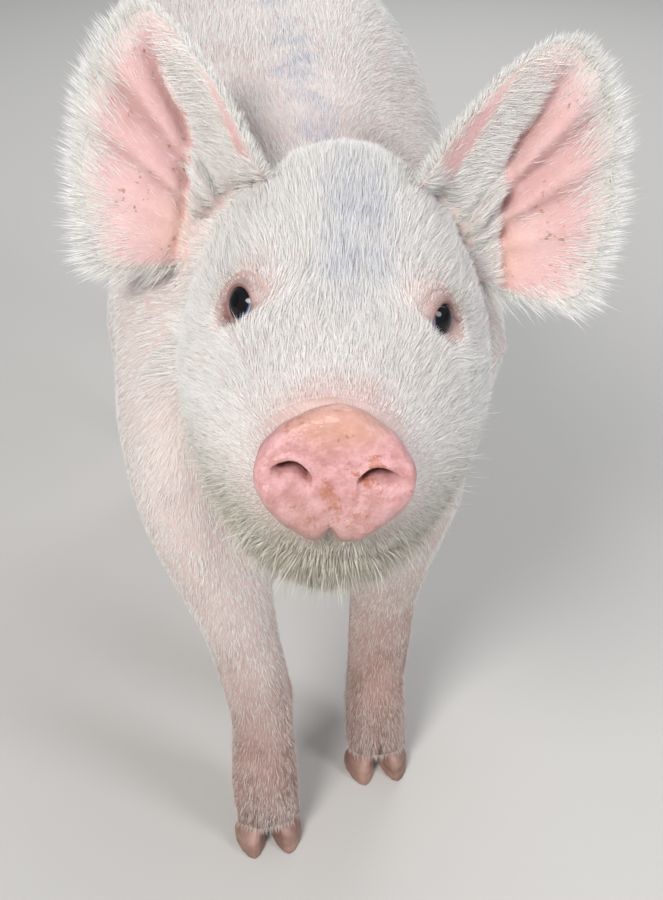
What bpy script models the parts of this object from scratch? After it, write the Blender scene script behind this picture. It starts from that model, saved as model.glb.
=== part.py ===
"""A young white pig, standing square on four feet with its head raised, as a still life-size model.

Metres, +Z up.  The pig faces -Y, its left side is +X, and its feet stand on Z = 0.
The flesh is lofted from sections, blended into one body, and parted into named nodes by thin plane cuts.
"""

import math
from collections import namedtuple

import bmesh
import bpy
from mathutils import Matrix, Vector

# ---------------------------------------------------------------- driving sizes
CUT_GAP = 0.0004  # width of the saw cuts that part the body
SLIVER = 0.000002  # edges shorter than this are closed up
BLEND_VOXEL = 0.0045  # grid on which the lofted parts grow together
BLEND_PASSES = 7  # smoothing passes over the joins
FLESH_FACES = 3650  # triangles of the whole body before it is parted
EAR_VOXEL = 0.0013
EAR_FACES = 440

SNOUT_CENTRE = Vector((-0.0358, -0.2310, 0.3900))  # middle of the nose disc
HEAD_YAW = math.radians(9.7)  # turned to the pig's own right
HEAD_PITCH = math.radians(16.4)  # nose lifted
HEAD_ROLL = math.radians(4.3)  # left side lower

SNOUT_CUT = 0.0125  # where the nose disc is parted from the head
JAW_CUT = Vector((0.0, 0.094, -0.0265))  # back end of the mouth, in head axes
JAW_FALL = math.radians(6)  # the mouth drops towards the lips
HEAD_CUT = 0.176  # where the head is parted from the neck, in head axes
HEAD_FLOOR = -0.077  # below the jaw, where the head is parted from the chest
NECK_CUT = Vector((0.0, -0.030, 0.340))  # a point of the plane between neck and trunk
NECK_SLOPE = math.radians(32)  # that plane leans forward going down
FORE_CUT = 0.156  # heights where the legs are parted from the trunk
HIND_CUT = 0.166
LEG_CUT_REACH = 0.052  # how far these cuts run before and behind the foot
FETLOCK_CUT = 0.056  # height where the feet are parted from the legs

EYE_RADIUS = 0.0105
EYE_PLACE = Vector((0.0330, 0.1095, 0.0330))  # middle of the left eyeball, in head axes
EYE_TURN = math.radians(50)  # how far each eye looks to its own side
BROW_RADIUS = 0.0150  # round the eyeball, out to the lids and their hair
LID_HALF_WIDTH = 0.0096
LID_HALF_HEIGHT = 0.0078

EAR_LENGTH = 0.096  # from the middle of the ear up to its tip
EAR_FOOT = 0.0275  # from the middle of the ear down to its lobe
EAR_MEDIAL = {1: 0.034, -1: 0.028}  # from the midrib to the edge towards the forehead, left and right ear
EAR_LATERAL = 0.069  # from the midrib to the outer edge
EAR_POINT = 1.75  # power of the outline: 2 is an ellipse, less is pointed
EAR_THICKNESS = 0.0052
EAR_HOLLOW = 0.024  # depth of the cup
EAR_ROOT = Vector((0.0560, 0.1650, 0.0620))  # middle of the left ear, in head axes
EAR_SPLAY = math.radians(25)
EAR_LEAN = math.radians(6)
EAR_FACING_OUT = 0.22  # how much the hollow turns to the side
EAR_STALK = 0.0200  # radius of the root where it leaves the head
EAR_STALK_FOOT = -0.055  # along the ear: the ends of the root inside the head and behind the hollow
EAR_STALK_TOP = 0.050
EAR_POINTS_OUT = 1.7  # power that crowds the sheet's points towards its edge

CLAW_HEIGHT = 0.021  # at the toe
HEEL_HEIGHT = 0.011
CLAW_HALF_WIDTH = 0.0101
CLAW_TOE = 0.0205  # in front of the middle of the foot
CLAW_HEEL = 0.0135  # behind it
CLAW_SPREAD = 0.0106  # from the middle of the foot to the middle of a claw
DEWCLAW_LENGTH = 0.016
DEWCLAW_RADIUS = 0.0052
DEWCLAW_TIP = 0.45  # radius of the tip, as a share of the root's
DEWCLAW_PLACE = Vector((0.0108, 0.0215, 0.0345))  # from the middle of the foot
DEWCLAW_SPLAY = math.radians(12)
DEWCLAW_DROOP = math.radians(38)

TAIL_DROP = 0.093  # from the root down to the tip
TAIL_ROOT_RADIUS = 0.0105
TAIL_TIP_RADIUS = 0.0035
TAIL_LOOP_RADIUS = 0.020
TAIL_TURN = math.radians(400)
TAIL_ROOT = Vector((0.0, 0.462, 0.378))
TAIL_BACK = 0.028  # how far it stands off the rump before it falls
TAIL_INSIDE = 0.12  # share of its length that lies inside the rump

NECK_FRONT = Vector((0.0, 0.165, 0.012))  # inside the head, in head axes
NECK_REAR = Vector((-0.010, 0.035, 0.305))  # inside the shoulders
NECK_HALF_WIDTH = (0.058, 0.090)  # at the front and at the rear
NECK_HALF_HEIGHT = (0.070, 0.112)
NECK_LEAN = math.radians(14)

KNEE_HEIGHT = 0.09  # below it a limb stands straight over its foot
SHOULDER_HEIGHT = 0.26  # above it the limb has its whole shift
SAW_REACH = 0.20  # of the boxes that part the body, past what they cut

NOSTRIL_PLACE = Vector((0.0142, 0.0, 0.0022))  # left nostril, in head axes
NOSTRIL_HALF_WIDTH = 0.0050
NOSTRIL_HALF_HEIGHT = 0.0040
NOSTRIL_DEPTH = 0.0130
NOSTRIL_TURN = math.radians(16)  # the pit runs outwards as it goes back

SEGMENTS = 28
LIMB_SEGMENTS = 20
SHARP = math.radians(50)  # edges that bend more than this stay sharp

TRUNK_POWER = 2.35  # shape of the sections: 2 is an ellipse, more is squarer
HEAD_POWER = 2.2

# Sections across the trunk and the head: place along the axis, shift to the left, top, bottom, half width,
# height of the widest place (0 bottom, 1 top), and how much the section narrows to its top and its bottom.
Section = namedtuple("Section", "at shift top bottom half_width girth pear keel")
TRUNK = [
    Section(-0.088, -0.013, 0.318, 0.240, 0.030, 0.50, 0.00, 0.00),  # breast bone
    Section(-0.066, -0.010, 0.362, 0.210, 0.069, 0.62, 0.12, 0.30),  # points of the shoulders
    Section(-0.028, -0.008, 0.400, 0.186, 0.099, 0.62, 0.34, 0.50),
    Section(0.022, -0.009, 0.427, 0.168, 0.104, 0.60, 0.42, 0.50),  # withers
    Section(0.080, -0.006, 0.437, 0.158, 0.106, 0.58, 0.34, 0.34),  # girth
    Section(0.170, -0.002, 0.446, 0.148, 0.113, 0.55, 0.08, 0.12),  # ribs
    Section(0.265, 0.000, 0.453, 0.154, 0.116, 0.54, 0.00, 0.10),  # belly
    Section(0.345, 0.000, 0.451, 0.182, 0.112, 0.56, 0.03, 0.14),  # loin
    Section(0.405, 0.000, 0.437, 0.210, 0.105, 0.56, 0.10, 0.16),  # haunches
    Section(0.450, 0.000, 0.408, 0.245, 0.085, 0.56, 0.16, 0.10),  # rump
    Section(0.476, 0.000, 0.368, 0.290, 0.044, 0.50, 0.10, 0.00),  # under the tail
]
HEAD = [
    Section(0.0000, 0.0, 0.0235, -0.0250, 0.0290, 0.50, 0.38, 0.22),  # face of the nose disc
    Section(0.0090, 0.0, 0.0225, -0.0245, 0.0282, 0.50, 0.34, 0.20),
    Section(0.0170, 0.0, 0.0205, -0.0330, 0.0268, 0.50, 0.18, 0.12),  # groove behind the disc
    Section(0.0300, 0.0, 0.0235, -0.0470, 0.0320, 0.52, 0.10, 0.08),
    Section(0.0550, 0.0, 0.0285, -0.0570, 0.0430, 0.54, 0.12, 0.10),
    Section(0.0800, 0.0, 0.0350, -0.0620, 0.0530, 0.54, 0.14, 0.16),
    Section(0.1050, 0.0, 0.0490, -0.0650, 0.0610, 0.54, 0.16, 0.22),  # eyes
    Section(0.1300, 0.0, 0.0680, -0.0660, 0.0660, 0.50, 0.20, 0.26),
    Section(0.1550, 0.0, 0.0850, -0.0660, 0.0680, 0.48, 0.24, 0.28),  # jowls
    Section(0.1800, 0.0, 0.0960, -0.0620, 0.0660, 0.48, 0.26, 0.28),
    Section(0.2000, 0.0, 0.0960, -0.0560, 0.0610, 0.48, 0.24, 0.25),  # poll
    Section(0.2160, 0.0, 0.0800, -0.0400, 0.0480, 0.48, 0.20, 0.20),
]

# Rings round a limb: height, shift out from the foot, shift back from the foot, half width, half depth.
Ring = namedtuple("Ring", "height out back half_width half_depth")
FORE_RINGS = [
    Ring(0.0060, 0.000, -0.001, 0.0215, 0.0205),  # coronet
    Ring(0.0300, 0.000, 0.003, 0.0215, 0.0195),  # pastern
    Ring(0.0520, 0.000, 0.007, 0.0220, 0.0210),  # fetlock
    Ring(0.0800, 0.000, 0.006, 0.0200, 0.0195),  # cannon
    Ring(0.1050, 0.001, 0.003, 0.0210, 0.0215),
    Ring(0.1250, 0.003, 0.002, 0.0220, 0.0235),  # knee
    Ring(0.1500, 0.007, 0.005, 0.0220, 0.0250),
    Ring(0.1850, 0.014, 0.010, 0.0255, 0.0340),  # forearm
    Ring(0.2200, 0.022, 0.016, 0.0300, 0.0450),
    Ring(0.2600, 0.030, 0.022, 0.0330, 0.0550),  # upper arm
    Ring(0.3100, 0.036, 0.038, 0.0300, 0.0560),
    Ring(0.3600, 0.030, 0.058, 0.0200, 0.0450),  # shoulder blade
]
HIND_RINGS = [
    Ring(0.0060, 0.000, -0.001, 0.0210, 0.0205),  # coronet
    Ring(0.0300, 0.000, 0.004, 0.0205, 0.0190),  # pastern
    Ring(0.0520, 0.000, 0.009, 0.0205, 0.0205),  # fetlock
    Ring(0.0850, 0.000, 0.013, 0.0180, 0.0190),  # cannon
    Ring(0.1200, 0.000, 0.019, 0.0185, 0.0225),
    Ring(0.1480, 0.001, 0.022, 0.0195, 0.0290),  # hock
    Ring(0.1750, 0.004, 0.012, 0.0215, 0.0320),
    Ring(0.2100, 0.010, -0.004, 0.0280, 0.0460),  # gaskin
    Ring(0.2500, 0.018, -0.016, 0.0350, 0.0650),  # stifle
    Ring(0.3000, 0.024, -0.014, 0.0380, 0.0730),  # ham
    Ring(0.3500, 0.018, -0.002, 0.0340, 0.0580),
    Ring(0.3900, 0.002, 0.006, 0.0240, 0.0360),
]

# Where each foot stands: side (+1 is the pig's left), across and along, and how far its limb's top shifts
# out and back from there.
Limb = namedtuple("Limb", "name side foot shift_out shift_back rings")
LIMBS = [
    Limb("foreleg_right", -1, (-0.0450, -0.0460), 0.000, -0.012, FORE_RINGS),
    Limb("foreleg_left", 1, (0.0315, -0.0020), -0.024, -0.048, FORE_RINGS),
    Limb("hindleg_right", -1, (-0.0600, 0.3660), 0.000, 0.022, HIND_RINGS),
    Limb("hindleg_left", 1, (0.0600, 0.4080), 0.000, -0.020, HIND_RINGS),
]


# ---------------------------------------------------------------- small tools
def clear_scene():
    for old in list(bpy.data.objects):
        bpy.data.objects.remove(old)


def between(rows, at):
    """The row at a place along the table, on a smooth curve through the rows."""
    places = [row[0] for row in rows]
    last = len(rows) - 1
    index = min(max(sum(place <= at for place in places) - 1, 0), last - 1)
    low, high = rows[index], rows[index + 1]
    before, after = rows[max(index - 1, 0)], rows[min(index + 2, last)]
    step = high[0] - low[0]
    share = (at - low[0]) / step
    values = []
    for column in range(1, len(low)):
        slope_low = (high[column] - before[column]) / (high[0] - before[0]) * step
        slope_high = (after[column] - low[column]) / (after[0] - low[0]) * step
        rise = high[column] - low[column]
        square, cube = share * share, share**3
        values.append(
            low[column]
            + slope_low * (cube - 2 * square + share)
            + slope_high * (cube - square)
            + rise * (3 * square - 2 * cube)
        )
    return type(low)(at, *values)


def evenly(rows, count):
    first, last = rows[0][0], rows[-1][0]
    return [between(rows, first + (last - first) * i / (count - 1)) for i in range(count)]


def loft(bm, rings, segments=SEGMENTS):
    """A closed skin over rings, each a function that places a point of the unit circle."""
    loops = []
    for place in rings:
        made = bmesh.ops.create_circle(bm, segments=segments, radius=1.0)
        for vertex in made["verts"]:
            vertex.co = place(vertex.co.x, vertex.co.y)
        loops.append(list({edge for vertex in made["verts"] for edge in vertex.link_edges}))
    for one, other in zip(loops, loops[1:]):
        bmesh.ops.bridge_loops(bm, edges=one + other)
    for end in (loops[0], loops[-1]):
        bmesh.ops.contextual_create(bm, geom=end)
    bmesh.ops.recalc_face_normals(bm, faces=bm.faces)


def made_object(name, bm):
    mesh = bpy.data.meshes.new(name)
    bm.to_mesh(mesh)
    bm.free()
    made = bpy.data.objects.new(name, mesh)
    bpy.context.scene.collection.objects.link(made)
    return made


def apply_modifiers(made):
    """Freezes what the modifiers make into the object's own mesh."""
    graph = bpy.context.evaluated_depsgraph_get()
    mesh = bpy.data.meshes.new_from_object(made.evaluated_get(graph))
    made.modifiers.clear()
    made.data = mesh
    return made


def tidied(made):
    """Clears the slivers that a cut leaves along its edges."""
    bm = bmesh.new()
    bm.from_mesh(made.data)
    bmesh.ops.remove_doubles(bm, verts=bm.verts, dist=SLIVER)
    bmesh.ops.dissolve_degenerate(bm, edges=bm.edges, dist=SLIVER)
    bmesh.ops.triangulate(bm, faces=bm.faces)
    bm.to_mesh(made.data)
    bm.free()
    return made


def combine(made, other, operation):
    """Boolean of one solid with another; the other one is used up."""
    cut = made.modifiers.new("combine", "BOOLEAN")
    cut.operation = operation
    cut.object = other
    cut.solver = "EXACT"
    apply_modifiers(made)
    bpy.data.objects.remove(other)
    return tidied(made)


def copy_of(made, name):
    twin = made.copy()
    twin.data = made.data.copy()
    twin.name = name
    bpy.context.scene.collection.objects.link(twin)
    return twin


def block(name, low, high, frame=Matrix.Identity(4), grow=0.0):
    """A box between two corners of a frame, for parting the body."""
    bm = bmesh.new()
    bmesh.ops.create_cube(bm, size=1.0)
    middle = (Vector(low) + Vector(high)) / 2
    size = Vector(high) - Vector(low) + Vector((2 * grow,) * 3)
    bmesh.ops.scale(bm, vec=size, verts=bm.verts)
    bmesh.ops.translate(bm, vec=middle, verts=bm.verts)
    bmesh.ops.transform(bm, matrix=frame, verts=bm.verts)
    return made_object(name, bm)


def part_off(body, name, low, high, frame=Matrix.Identity(4)):
    """Cuts the region inside a box away from the body, as a node of its own, with a thin gap between them."""
    piece = combine(copy_of(body, name), block("saw", low, high, frame), "INTERSECT")
    combine(body, block("saw", low, high, frame, grow=CUT_GAP), "DIFFERENCE")
    return piece


# ---------------------------------------------------------------- frames of the head and the ears
def head_frame():
    """Head axes in the row frame: X to the pig's left, Y back towards the poll, Z up through the forehead."""
    turn = Matrix.Rotation(-HEAD_YAW, 4, "Z") @ Matrix.Rotation(-HEAD_PITCH, 4, "X")
    return Matrix.Translation(SNOUT_CENTRE) @ turn @ Matrix.Rotation(HEAD_ROLL, 4, "Y")


def ear_frame(side):
    """Ear axes: X across towards the forehead, Y along to the tip, Z out of the hollow of the ear."""
    along = Vector(
        (
            side * math.sin(EAR_SPLAY),
            math.cos(EAR_SPLAY) * math.sin(EAR_LEAN),
            math.cos(EAR_SPLAY) * math.cos(EAR_LEAN),
        )
    )
    facing = Vector((side * EAR_FACING_OUT, -1.0, 0.0))
    facing = (facing - facing.dot(along) * along).normalized()
    across = Vector((-side, 0, 0))
    across = (across - across.dot(along) * along - across.dot(facing) * facing).normalized()
    frame = Matrix((across, along, facing)).transposed().to_4x4()
    root = Vector((side * EAR_ROOT.x, EAR_ROOT.y, EAR_ROOT.z))
    return head_frame() @ Matrix.Translation(root) @ frame


# ---------------------------------------------------------------- flesh
def round_section(row, power, x, z):
    """A point of a body section: the unit circle made squarer, then stretched and narrowed as the row says."""
    x = math.copysign(abs(x) ** (2 / power), x)
    z = math.copysign(abs(z) ** (2 / power), z)
    middle = row.bottom + row.girth * (row.top - row.bottom)
    height = middle + abs(z) * ((row.top if z > 0 else row.bottom) - middle)
    narrowing = 1 - (row.pear if z > 0 else row.keel) * abs(z) ** 1.5
    return row.shift + x * row.half_width * narrowing, height


def add_trunk(bm):
    def ring(row):
        def place(x, z):
            across, height = round_section(row, TRUNK_POWER, x, z)
            return Vector((across, row.at, height))

        return place

    loft(bm, [ring(row) for row in evenly(TRUNK, 30)])


def add_head(bm):
    frame = head_frame()

    def ring(row):
        def place(x, z):
            across, height = round_section(row, HEAD_POWER, x, z)
            return frame @ Vector((across, row.at, height))

        return place

    loft(bm, [ring(row) for row in evenly(HEAD, 34)])


def add_brows(bm):
    """Rounded rims of bone and lid round the eyeballs."""
    for side in (1, -1):
        made = bmesh.ops.create_uvsphere(bm, u_segments=16, v_segments=10, radius=BROW_RADIUS)
        bmesh.ops.transform(bm, matrix=eye_frame(side), verts=made["verts"])


def add_neck(bm):
    """A short thick neck from inside the head to inside the shoulders."""
    front = head_frame() @ NECK_FRONT
    steps = 12

    def ring(share):
        middle = front.lerp(NECK_REAR, share)
        half_width = NECK_HALF_WIDTH[0] + (NECK_HALF_WIDTH[1] - NECK_HALF_WIDTH[0]) * share
        half_height = NECK_HALF_HEIGHT[0] + (NECK_HALF_HEIGHT[1] - NECK_HALF_HEIGHT[0]) * share
        lean = Matrix.Rotation(-NECK_LEAN * (1 - share), 3, "X")

        def place(x, z):
            return middle + lean @ Vector((x * half_width, 0, z * half_height))

        return place

    loft(bm, [ring(i / (steps - 1)) for i in range(steps)])


def limb_place(limb, ring):
    """The middle of a limb's ring.  The shifts grow from nothing at the knee to their full size at the top."""
    share = (ring.height - KNEE_HEIGHT) / (SHOULDER_HEIGHT - KNEE_HEIGHT)
    share = min(max(share, 0.0), 1.0)
    share = share * share * (3 - 2 * share)
    across = limb.foot[0] + limb.side * (ring.out + limb.shift_out * share)
    along = limb.foot[1] + ring.back + limb.shift_back * share
    return Vector((across, along, ring.height))


def add_limb(bm, limb):
    def place_ring(ring):
        middle = limb_place(limb, ring)

        def place(x, y):
            return middle + Vector((x * ring.half_width, y * ring.half_depth, 0))

        return place

    loft(bm, [place_ring(ring) for ring in evenly(limb.rings, 26)], LIMB_SEGMENTS)


def grow_together(made, voxel, passes, faces):
    """Joins all closed shapes of an object into one smooth skin of about so many triangles."""
    grow = made.modifiers.new("grow together", "REMESH")
    grow.mode = "VOXEL"
    grow.voxel_size = voxel
    soften = made.modifiers.new("soften", "SMOOTH")
    soften.factor = 0.5
    soften.iterations = passes
    apply_modifiers(made)
    reduce = made.modifiers.new("reduce", "DECIMATE")
    reduce.ratio = faces / sum(len(face.vertices) - 2 for face in made.data.polygons)
    reduce.use_collapse_triangulate = True
    return apply_modifiers(made)


def blended_flesh():
    """All the lofts grown together into one smooth body."""
    bm = bmesh.new()
    add_trunk(bm)
    add_neck(bm)
    add_head(bm)
    add_brows(bm)
    for limb in LIMBS:
        add_limb(bm, limb)
    return grow_together(made_object("body", bm), BLEND_VOXEL, BLEND_PASSES, FLESH_FACES)


# ---------------------------------------------------------------- parts that are not lofted
def eye_frame(side):
    """Eye axes at the middle of the eyeball, with -Y the way it looks."""
    middle = Vector((side * EYE_PLACE.x, EYE_PLACE.y, EYE_PLACE.z))
    turn = Matrix.Rotation(side * EYE_TURN, 4, "Z")
    return head_frame() @ Matrix.Translation(middle) @ turn


def eyeball(name, side, radius):
    bm = bmesh.new()
    bmesh.ops.create_uvsphere(bm, u_segments=16, v_segments=10, radius=radius)
    bmesh.ops.rotate(bm, matrix=Matrix.Rotation(math.pi / 2, 3, "X"), verts=bm.verts)
    bmesh.ops.transform(bm, matrix=eye_frame(side), verts=bm.verts)
    return made_object(name, bm)


def lid_opening(side):
    """A flaring oval plug from the middle of the eyeball out through the lids."""
    bm = bmesh.new()
    made = bmesh.ops.create_cone(
        bm,
        cap_ends=True,
        segments=20,
        radius1=0.55,
        radius2=1.45,
        depth=EYE_RADIUS * 2.4,
    )
    bmesh.ops.translate(bm, vec=(0, 0, EYE_RADIUS * 1.2), verts=made["verts"])
    bmesh.ops.scale(bm, vec=(LID_HALF_WIDTH, LID_HALF_HEIGHT, 1), verts=bm.verts)
    bmesh.ops.rotate(bm, matrix=Matrix.Rotation(math.pi / 2, 3, "X"), verts=bm.verts)
    bmesh.ops.transform(bm, matrix=eye_frame(side), verts=bm.verts)
    return made_object("lids", bm)


def ear_outline(angle, side):
    """Edge of the ear at an angle round its middle, in ear axes."""
    across, along = math.cos(angle), math.sin(angle)
    reach_across = EAR_MEDIAL[side] if across > 0 else EAR_LATERAL
    reach_along = EAR_LENGTH if along > 0 else EAR_FOOT
    power = 2 / (EAR_POINT if along > 0 else 2.0)
    return (
        math.copysign(abs(across) ** power * reach_across, across),
        math.copysign(abs(along) ** power * reach_along, along),
    )


def ear_hollow(across, along, side):
    """How far the sheet of the ear lies behind its edges."""
    half_width = EAR_MEDIAL[side] if across > 0 else EAR_LATERAL
    share = min(abs(across) / half_width, 1.0)
    rise = min(max(along / EAR_LENGTH, 0.0), 1.0)
    return EAR_HOLLOW * (1 - share * share) * (1 - 0.75 * rise)


def ear(name, side):
    """A cupped leaf made from a flattened ball, on a stalk that reaches into the head."""
    bm = bmesh.new()
    made = bmesh.ops.create_uvsphere(bm, u_segments=40, v_segments=20, radius=1.0)
    for vertex in made["verts"]:
        ball = vertex.co.copy()
        ring = 1 - (1 - math.acos(min(abs(ball.z), 1.0)) / (math.pi / 2)) ** EAR_POINTS_OUT
        edge_across, edge_along = ear_outline(math.atan2(ball.y, ball.x), side)
        across, along = edge_across * ring, edge_along * ring
        thickness = EAR_THICKNESS / 2 * max(1 - ring**12, 0.3)
        lift = -ear_hollow(across, along, side) + math.copysign(thickness, ball.z)
        vertex.co = Vector((across, along, lift))
    bmesh.ops.transform(bm, matrix=ear_frame(side), verts=bm.verts)
    bmesh.ops.recalc_face_normals(bm, faces=bm.faces)
    add_ear_stalk(bm, side)
    leaf = made_object(name, bm)
    return grow_together(leaf, EAR_VOXEL, 3, EAR_FACES)


def add_ear_stalk(bm, side):
    """The root of the ear, from inside the head to the back of its hollow."""
    frame = ear_frame(side)

    def ring(share):
        height = EAR_STALK_FOOT + (EAR_STALK_TOP - EAR_STALK_FOOT) * share
        radius = EAR_STALK * (1 - 0.80 * share**1.5)
        middle = Vector((0.002, height, -EAR_HOLLOW * (1 - 0.35 * share) - radius * 0.62))

        def place(x, z):
            return frame @ (middle + Vector((x * radius * 1.25, 0, z * radius * 0.8)))

        return place

    loft(bm, [ring(i / 5) for i in range(6)], segments=14)


def coronet_height(along):
    """Height of the top of the horn, falling from the toe to the heel."""
    share = (along + CLAW_TOE) / (CLAW_TOE + CLAW_HEEL)
    return CLAW_HEIGHT + (HEEL_HEIGHT - CLAW_HEIGHT) * share


def claw(name, foot, spread):
    """One toe's horn: a rounded wedge with a flat sole."""
    bm = bmesh.new()
    inner = -math.copysign(1, spread)

    def ring(share):
        toe = CLAW_TOE * (1 - 0.22 * share)
        heel = CLAW_HEEL * (1 - 0.06 * share)
        half_width = CLAW_HALF_WIDTH * (1 - 0.07 * share)

        def place(x, y):
            along = y * (toe if y < 0 else heel)
            width = half_width * (0.94 if x * inner > 0 else 1.0)
            narrowing = 1 - 0.30 * max(-y, 0.0) ** 2
            height = share * coronet_height(along)
            return Vector((foot[0] + spread + x * width * narrowing, foot[1] + along, height))

        return place

    loft(bm, [ring(share) for share in (0.0, 0.6, 1.0)], segments=14)
    return made_object(name, bm)


def foot_plane():
    """Frame of the slanted plane along which flesh meets horn; it holds the middle of the foot."""
    fall = math.atan2(CLAW_HEIGHT - HEEL_HEIGHT, CLAW_TOE + CLAW_HEEL)
    return Matrix.Translation((0, 0, coronet_height(0.0))) @ Matrix.Rotation(-fall, 4, "X")


def dewclaw(name, foot, side):
    """A small blunt cone of horn behind the pastern."""
    bm = bmesh.new()
    bmesh.ops.create_cone(
        bm,
        cap_ends=True,
        segments=9,
        radius1=DEWCLAW_RADIUS,
        radius2=DEWCLAW_RADIUS * DEWCLAW_TIP,
        depth=DEWCLAW_LENGTH,
    )
    lean = Matrix.Rotation(side * DEWCLAW_SPLAY, 4, "Y") @ Matrix.Rotation(math.pi - DEWCLAW_DROOP, 4, "X")
    across, along, height = DEWCLAW_PLACE
    place = Matrix.Translation((foot[0] + side * across, foot[1] + along, height))
    bmesh.ops.transform(bm, matrix=place @ lean, verts=bm.verts)
    return made_object(name, bm)


def tail_point(share):
    """The tail's own line: out of the rump, then down in one loose loop.  Below 0 it lies inside the rump."""
    if share < 0:
        return TAIL_ROOT + Vector((0, 0.25 * share, -0.05 * share))
    turn = share * TAIL_TURN
    swing = TAIL_LOOP_RADIUS * share
    across = swing * math.sin(turn)
    back = TAIL_BACK * math.sin(min(share * 2.2, 1.0) * math.pi / 2) + 0.6 * swing * (1 - math.cos(turn))
    return TAIL_ROOT + Vector((across, back, -TAIL_DROP * share))


def tail():
    bm = bmesh.new()
    count = 24

    def ring(share):
        middle = tail_point(share)
        ahead = (tail_point(share + 0.01) - tail_point(share - 0.01)).normalized()
        side = ahead.cross(Vector((0, 1, 0))).normalized()
        other = side.cross(ahead)
        slimmer = min(max(share * 1.1, 0.0), 1.0) ** 0.7
        radius = TAIL_ROOT_RADIUS + (TAIL_TIP_RADIUS - TAIL_ROOT_RADIUS) * slimmer

        def place(x, y):
            return middle + radius * (x * side + y * other)

        return place

    loft(bm, [ring(-TAIL_INSIDE + (1 + TAIL_INSIDE) * i / (count - 1)) for i in range(count)], segments=8)
    return made_object("tail", bm)


def grown(made, by):
    """A copy whose surface stands a little proud, so that what it cuts keeps a gap to it."""
    twin = copy_of(made, "grown")
    normals = [vertex.normal.copy() for vertex in twin.data.vertices]
    for vertex, normal in zip(twin.data.vertices, normals):
        vertex.co += normal * by
    return twin


def nostril(side):
    """A pit that runs back and outwards from the face of the disc."""
    bm = bmesh.new()
    bmesh.ops.create_uvsphere(bm, u_segments=14, v_segments=8, radius=1.0)
    size = Vector((NOSTRIL_HALF_WIDTH, NOSTRIL_DEPTH, NOSTRIL_HALF_HEIGHT))
    bmesh.ops.scale(bm, vec=size, verts=bm.verts)
    turn = Matrix.Rotation(-side * NOSTRIL_TURN, 4, "Z")
    place = Matrix.Translation((side * NOSTRIL_PLACE.x, NOSTRIL_PLACE.y, NOSTRIL_PLACE.z))
    bmesh.ops.transform(bm, matrix=head_frame() @ place @ turn, verts=bm.verts)
    return made_object("nostril", bm)


def material(name, colour, roughness):
    made = bpy.data.materials.new(name)
    made.use_nodes = True
    shader = made.node_tree.nodes["Principled BSDF"]
    shader.inputs["Base Color"].default_value = (*colour, 1)
    shader.inputs["Roughness"].default_value = roughness
    shader.inputs["Metallic"].default_value = 0.0
    made.diffuse_color = (*colour, 1)
    return made


def settle(solids):
    """Moves the whole pig so that the middle of its footprint is the origin; the soles stay at Z = 0."""
    corners = [vertex.co for made in solids for vertex in made.data.vertices]
    for axis in (0, 1):
        middle = (min(co[axis] for co in corners) + max(co[axis] for co in corners)) / 2
        for co in corners:
            co[axis] -= middle


def finish(made, name, colour, roughness):
    made.name = name
    made.data.name = name
    made.data.materials.clear()
    made.data.materials.append(material(name, colour, roughness))
    made.data.shade_smooth()
    made.data.set_sharp_from_angle(angle=SHARP)


# ---------------------------------------------------------------- the whole pig
HIDE = (0.74, 0.68, 0.62)
PINK = (0.78, 0.48, 0.44)
HORN = (0.30, 0.20, 0.15)
DARK = (0.012, 0.012, 0.018)
SIDES = (("left", 1), ("right", -1))

clear_scene()
body = blended_flesh()
nodes = []

for label, side in SIDES:
    nodes.append((combine(ear("ear", side), grown(body, CUT_GAP), "DIFFERENCE"), f"ear_{label}", PINK, 0.6))
nodes.append((combine(tail(), grown(body, CUT_GAP), "DIFFERENCE"), "tail", HIDE, 0.7))
for limb in LIMBS:
    for label, side in (("outer", 1), ("inner", -1)):
        made = dewclaw("dewclaw", limb.foot, side * limb.side)
        made = combine(made, grown(body, CUT_GAP), "DIFFERENCE")
        nodes.append((made, f"dewclaw_{limb.name}_{label}", HORN, 0.5))
        made = claw("claw", limb.foot, side * limb.side * CLAW_SPREAD)
        nodes.append((made, f"claw_{limb.name}_{label}", HORN, 0.45))

for label, side in SIDES:
    nodes.append((eyeball("eye", side, EYE_RADIUS), f"eye_{label}", DARK, 0.08))
    socket = combine(eyeball("socket", side, EYE_RADIUS + CUT_GAP), lid_opening(side), "UNION")
    body = combine(body, socket, "DIFFERENCE")
    body = combine(body, nostril(side), "DIFFERENCE")

for limb in LIMBS:
    frame = Matrix.Translation((*limb.foot, CUT_GAP)) @ foot_plane()
    body = combine(body, block("saw", (-0.045, -0.060, -0.040), (0.045, 0.060, 0.0), frame), "DIFFERENCE")

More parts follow.
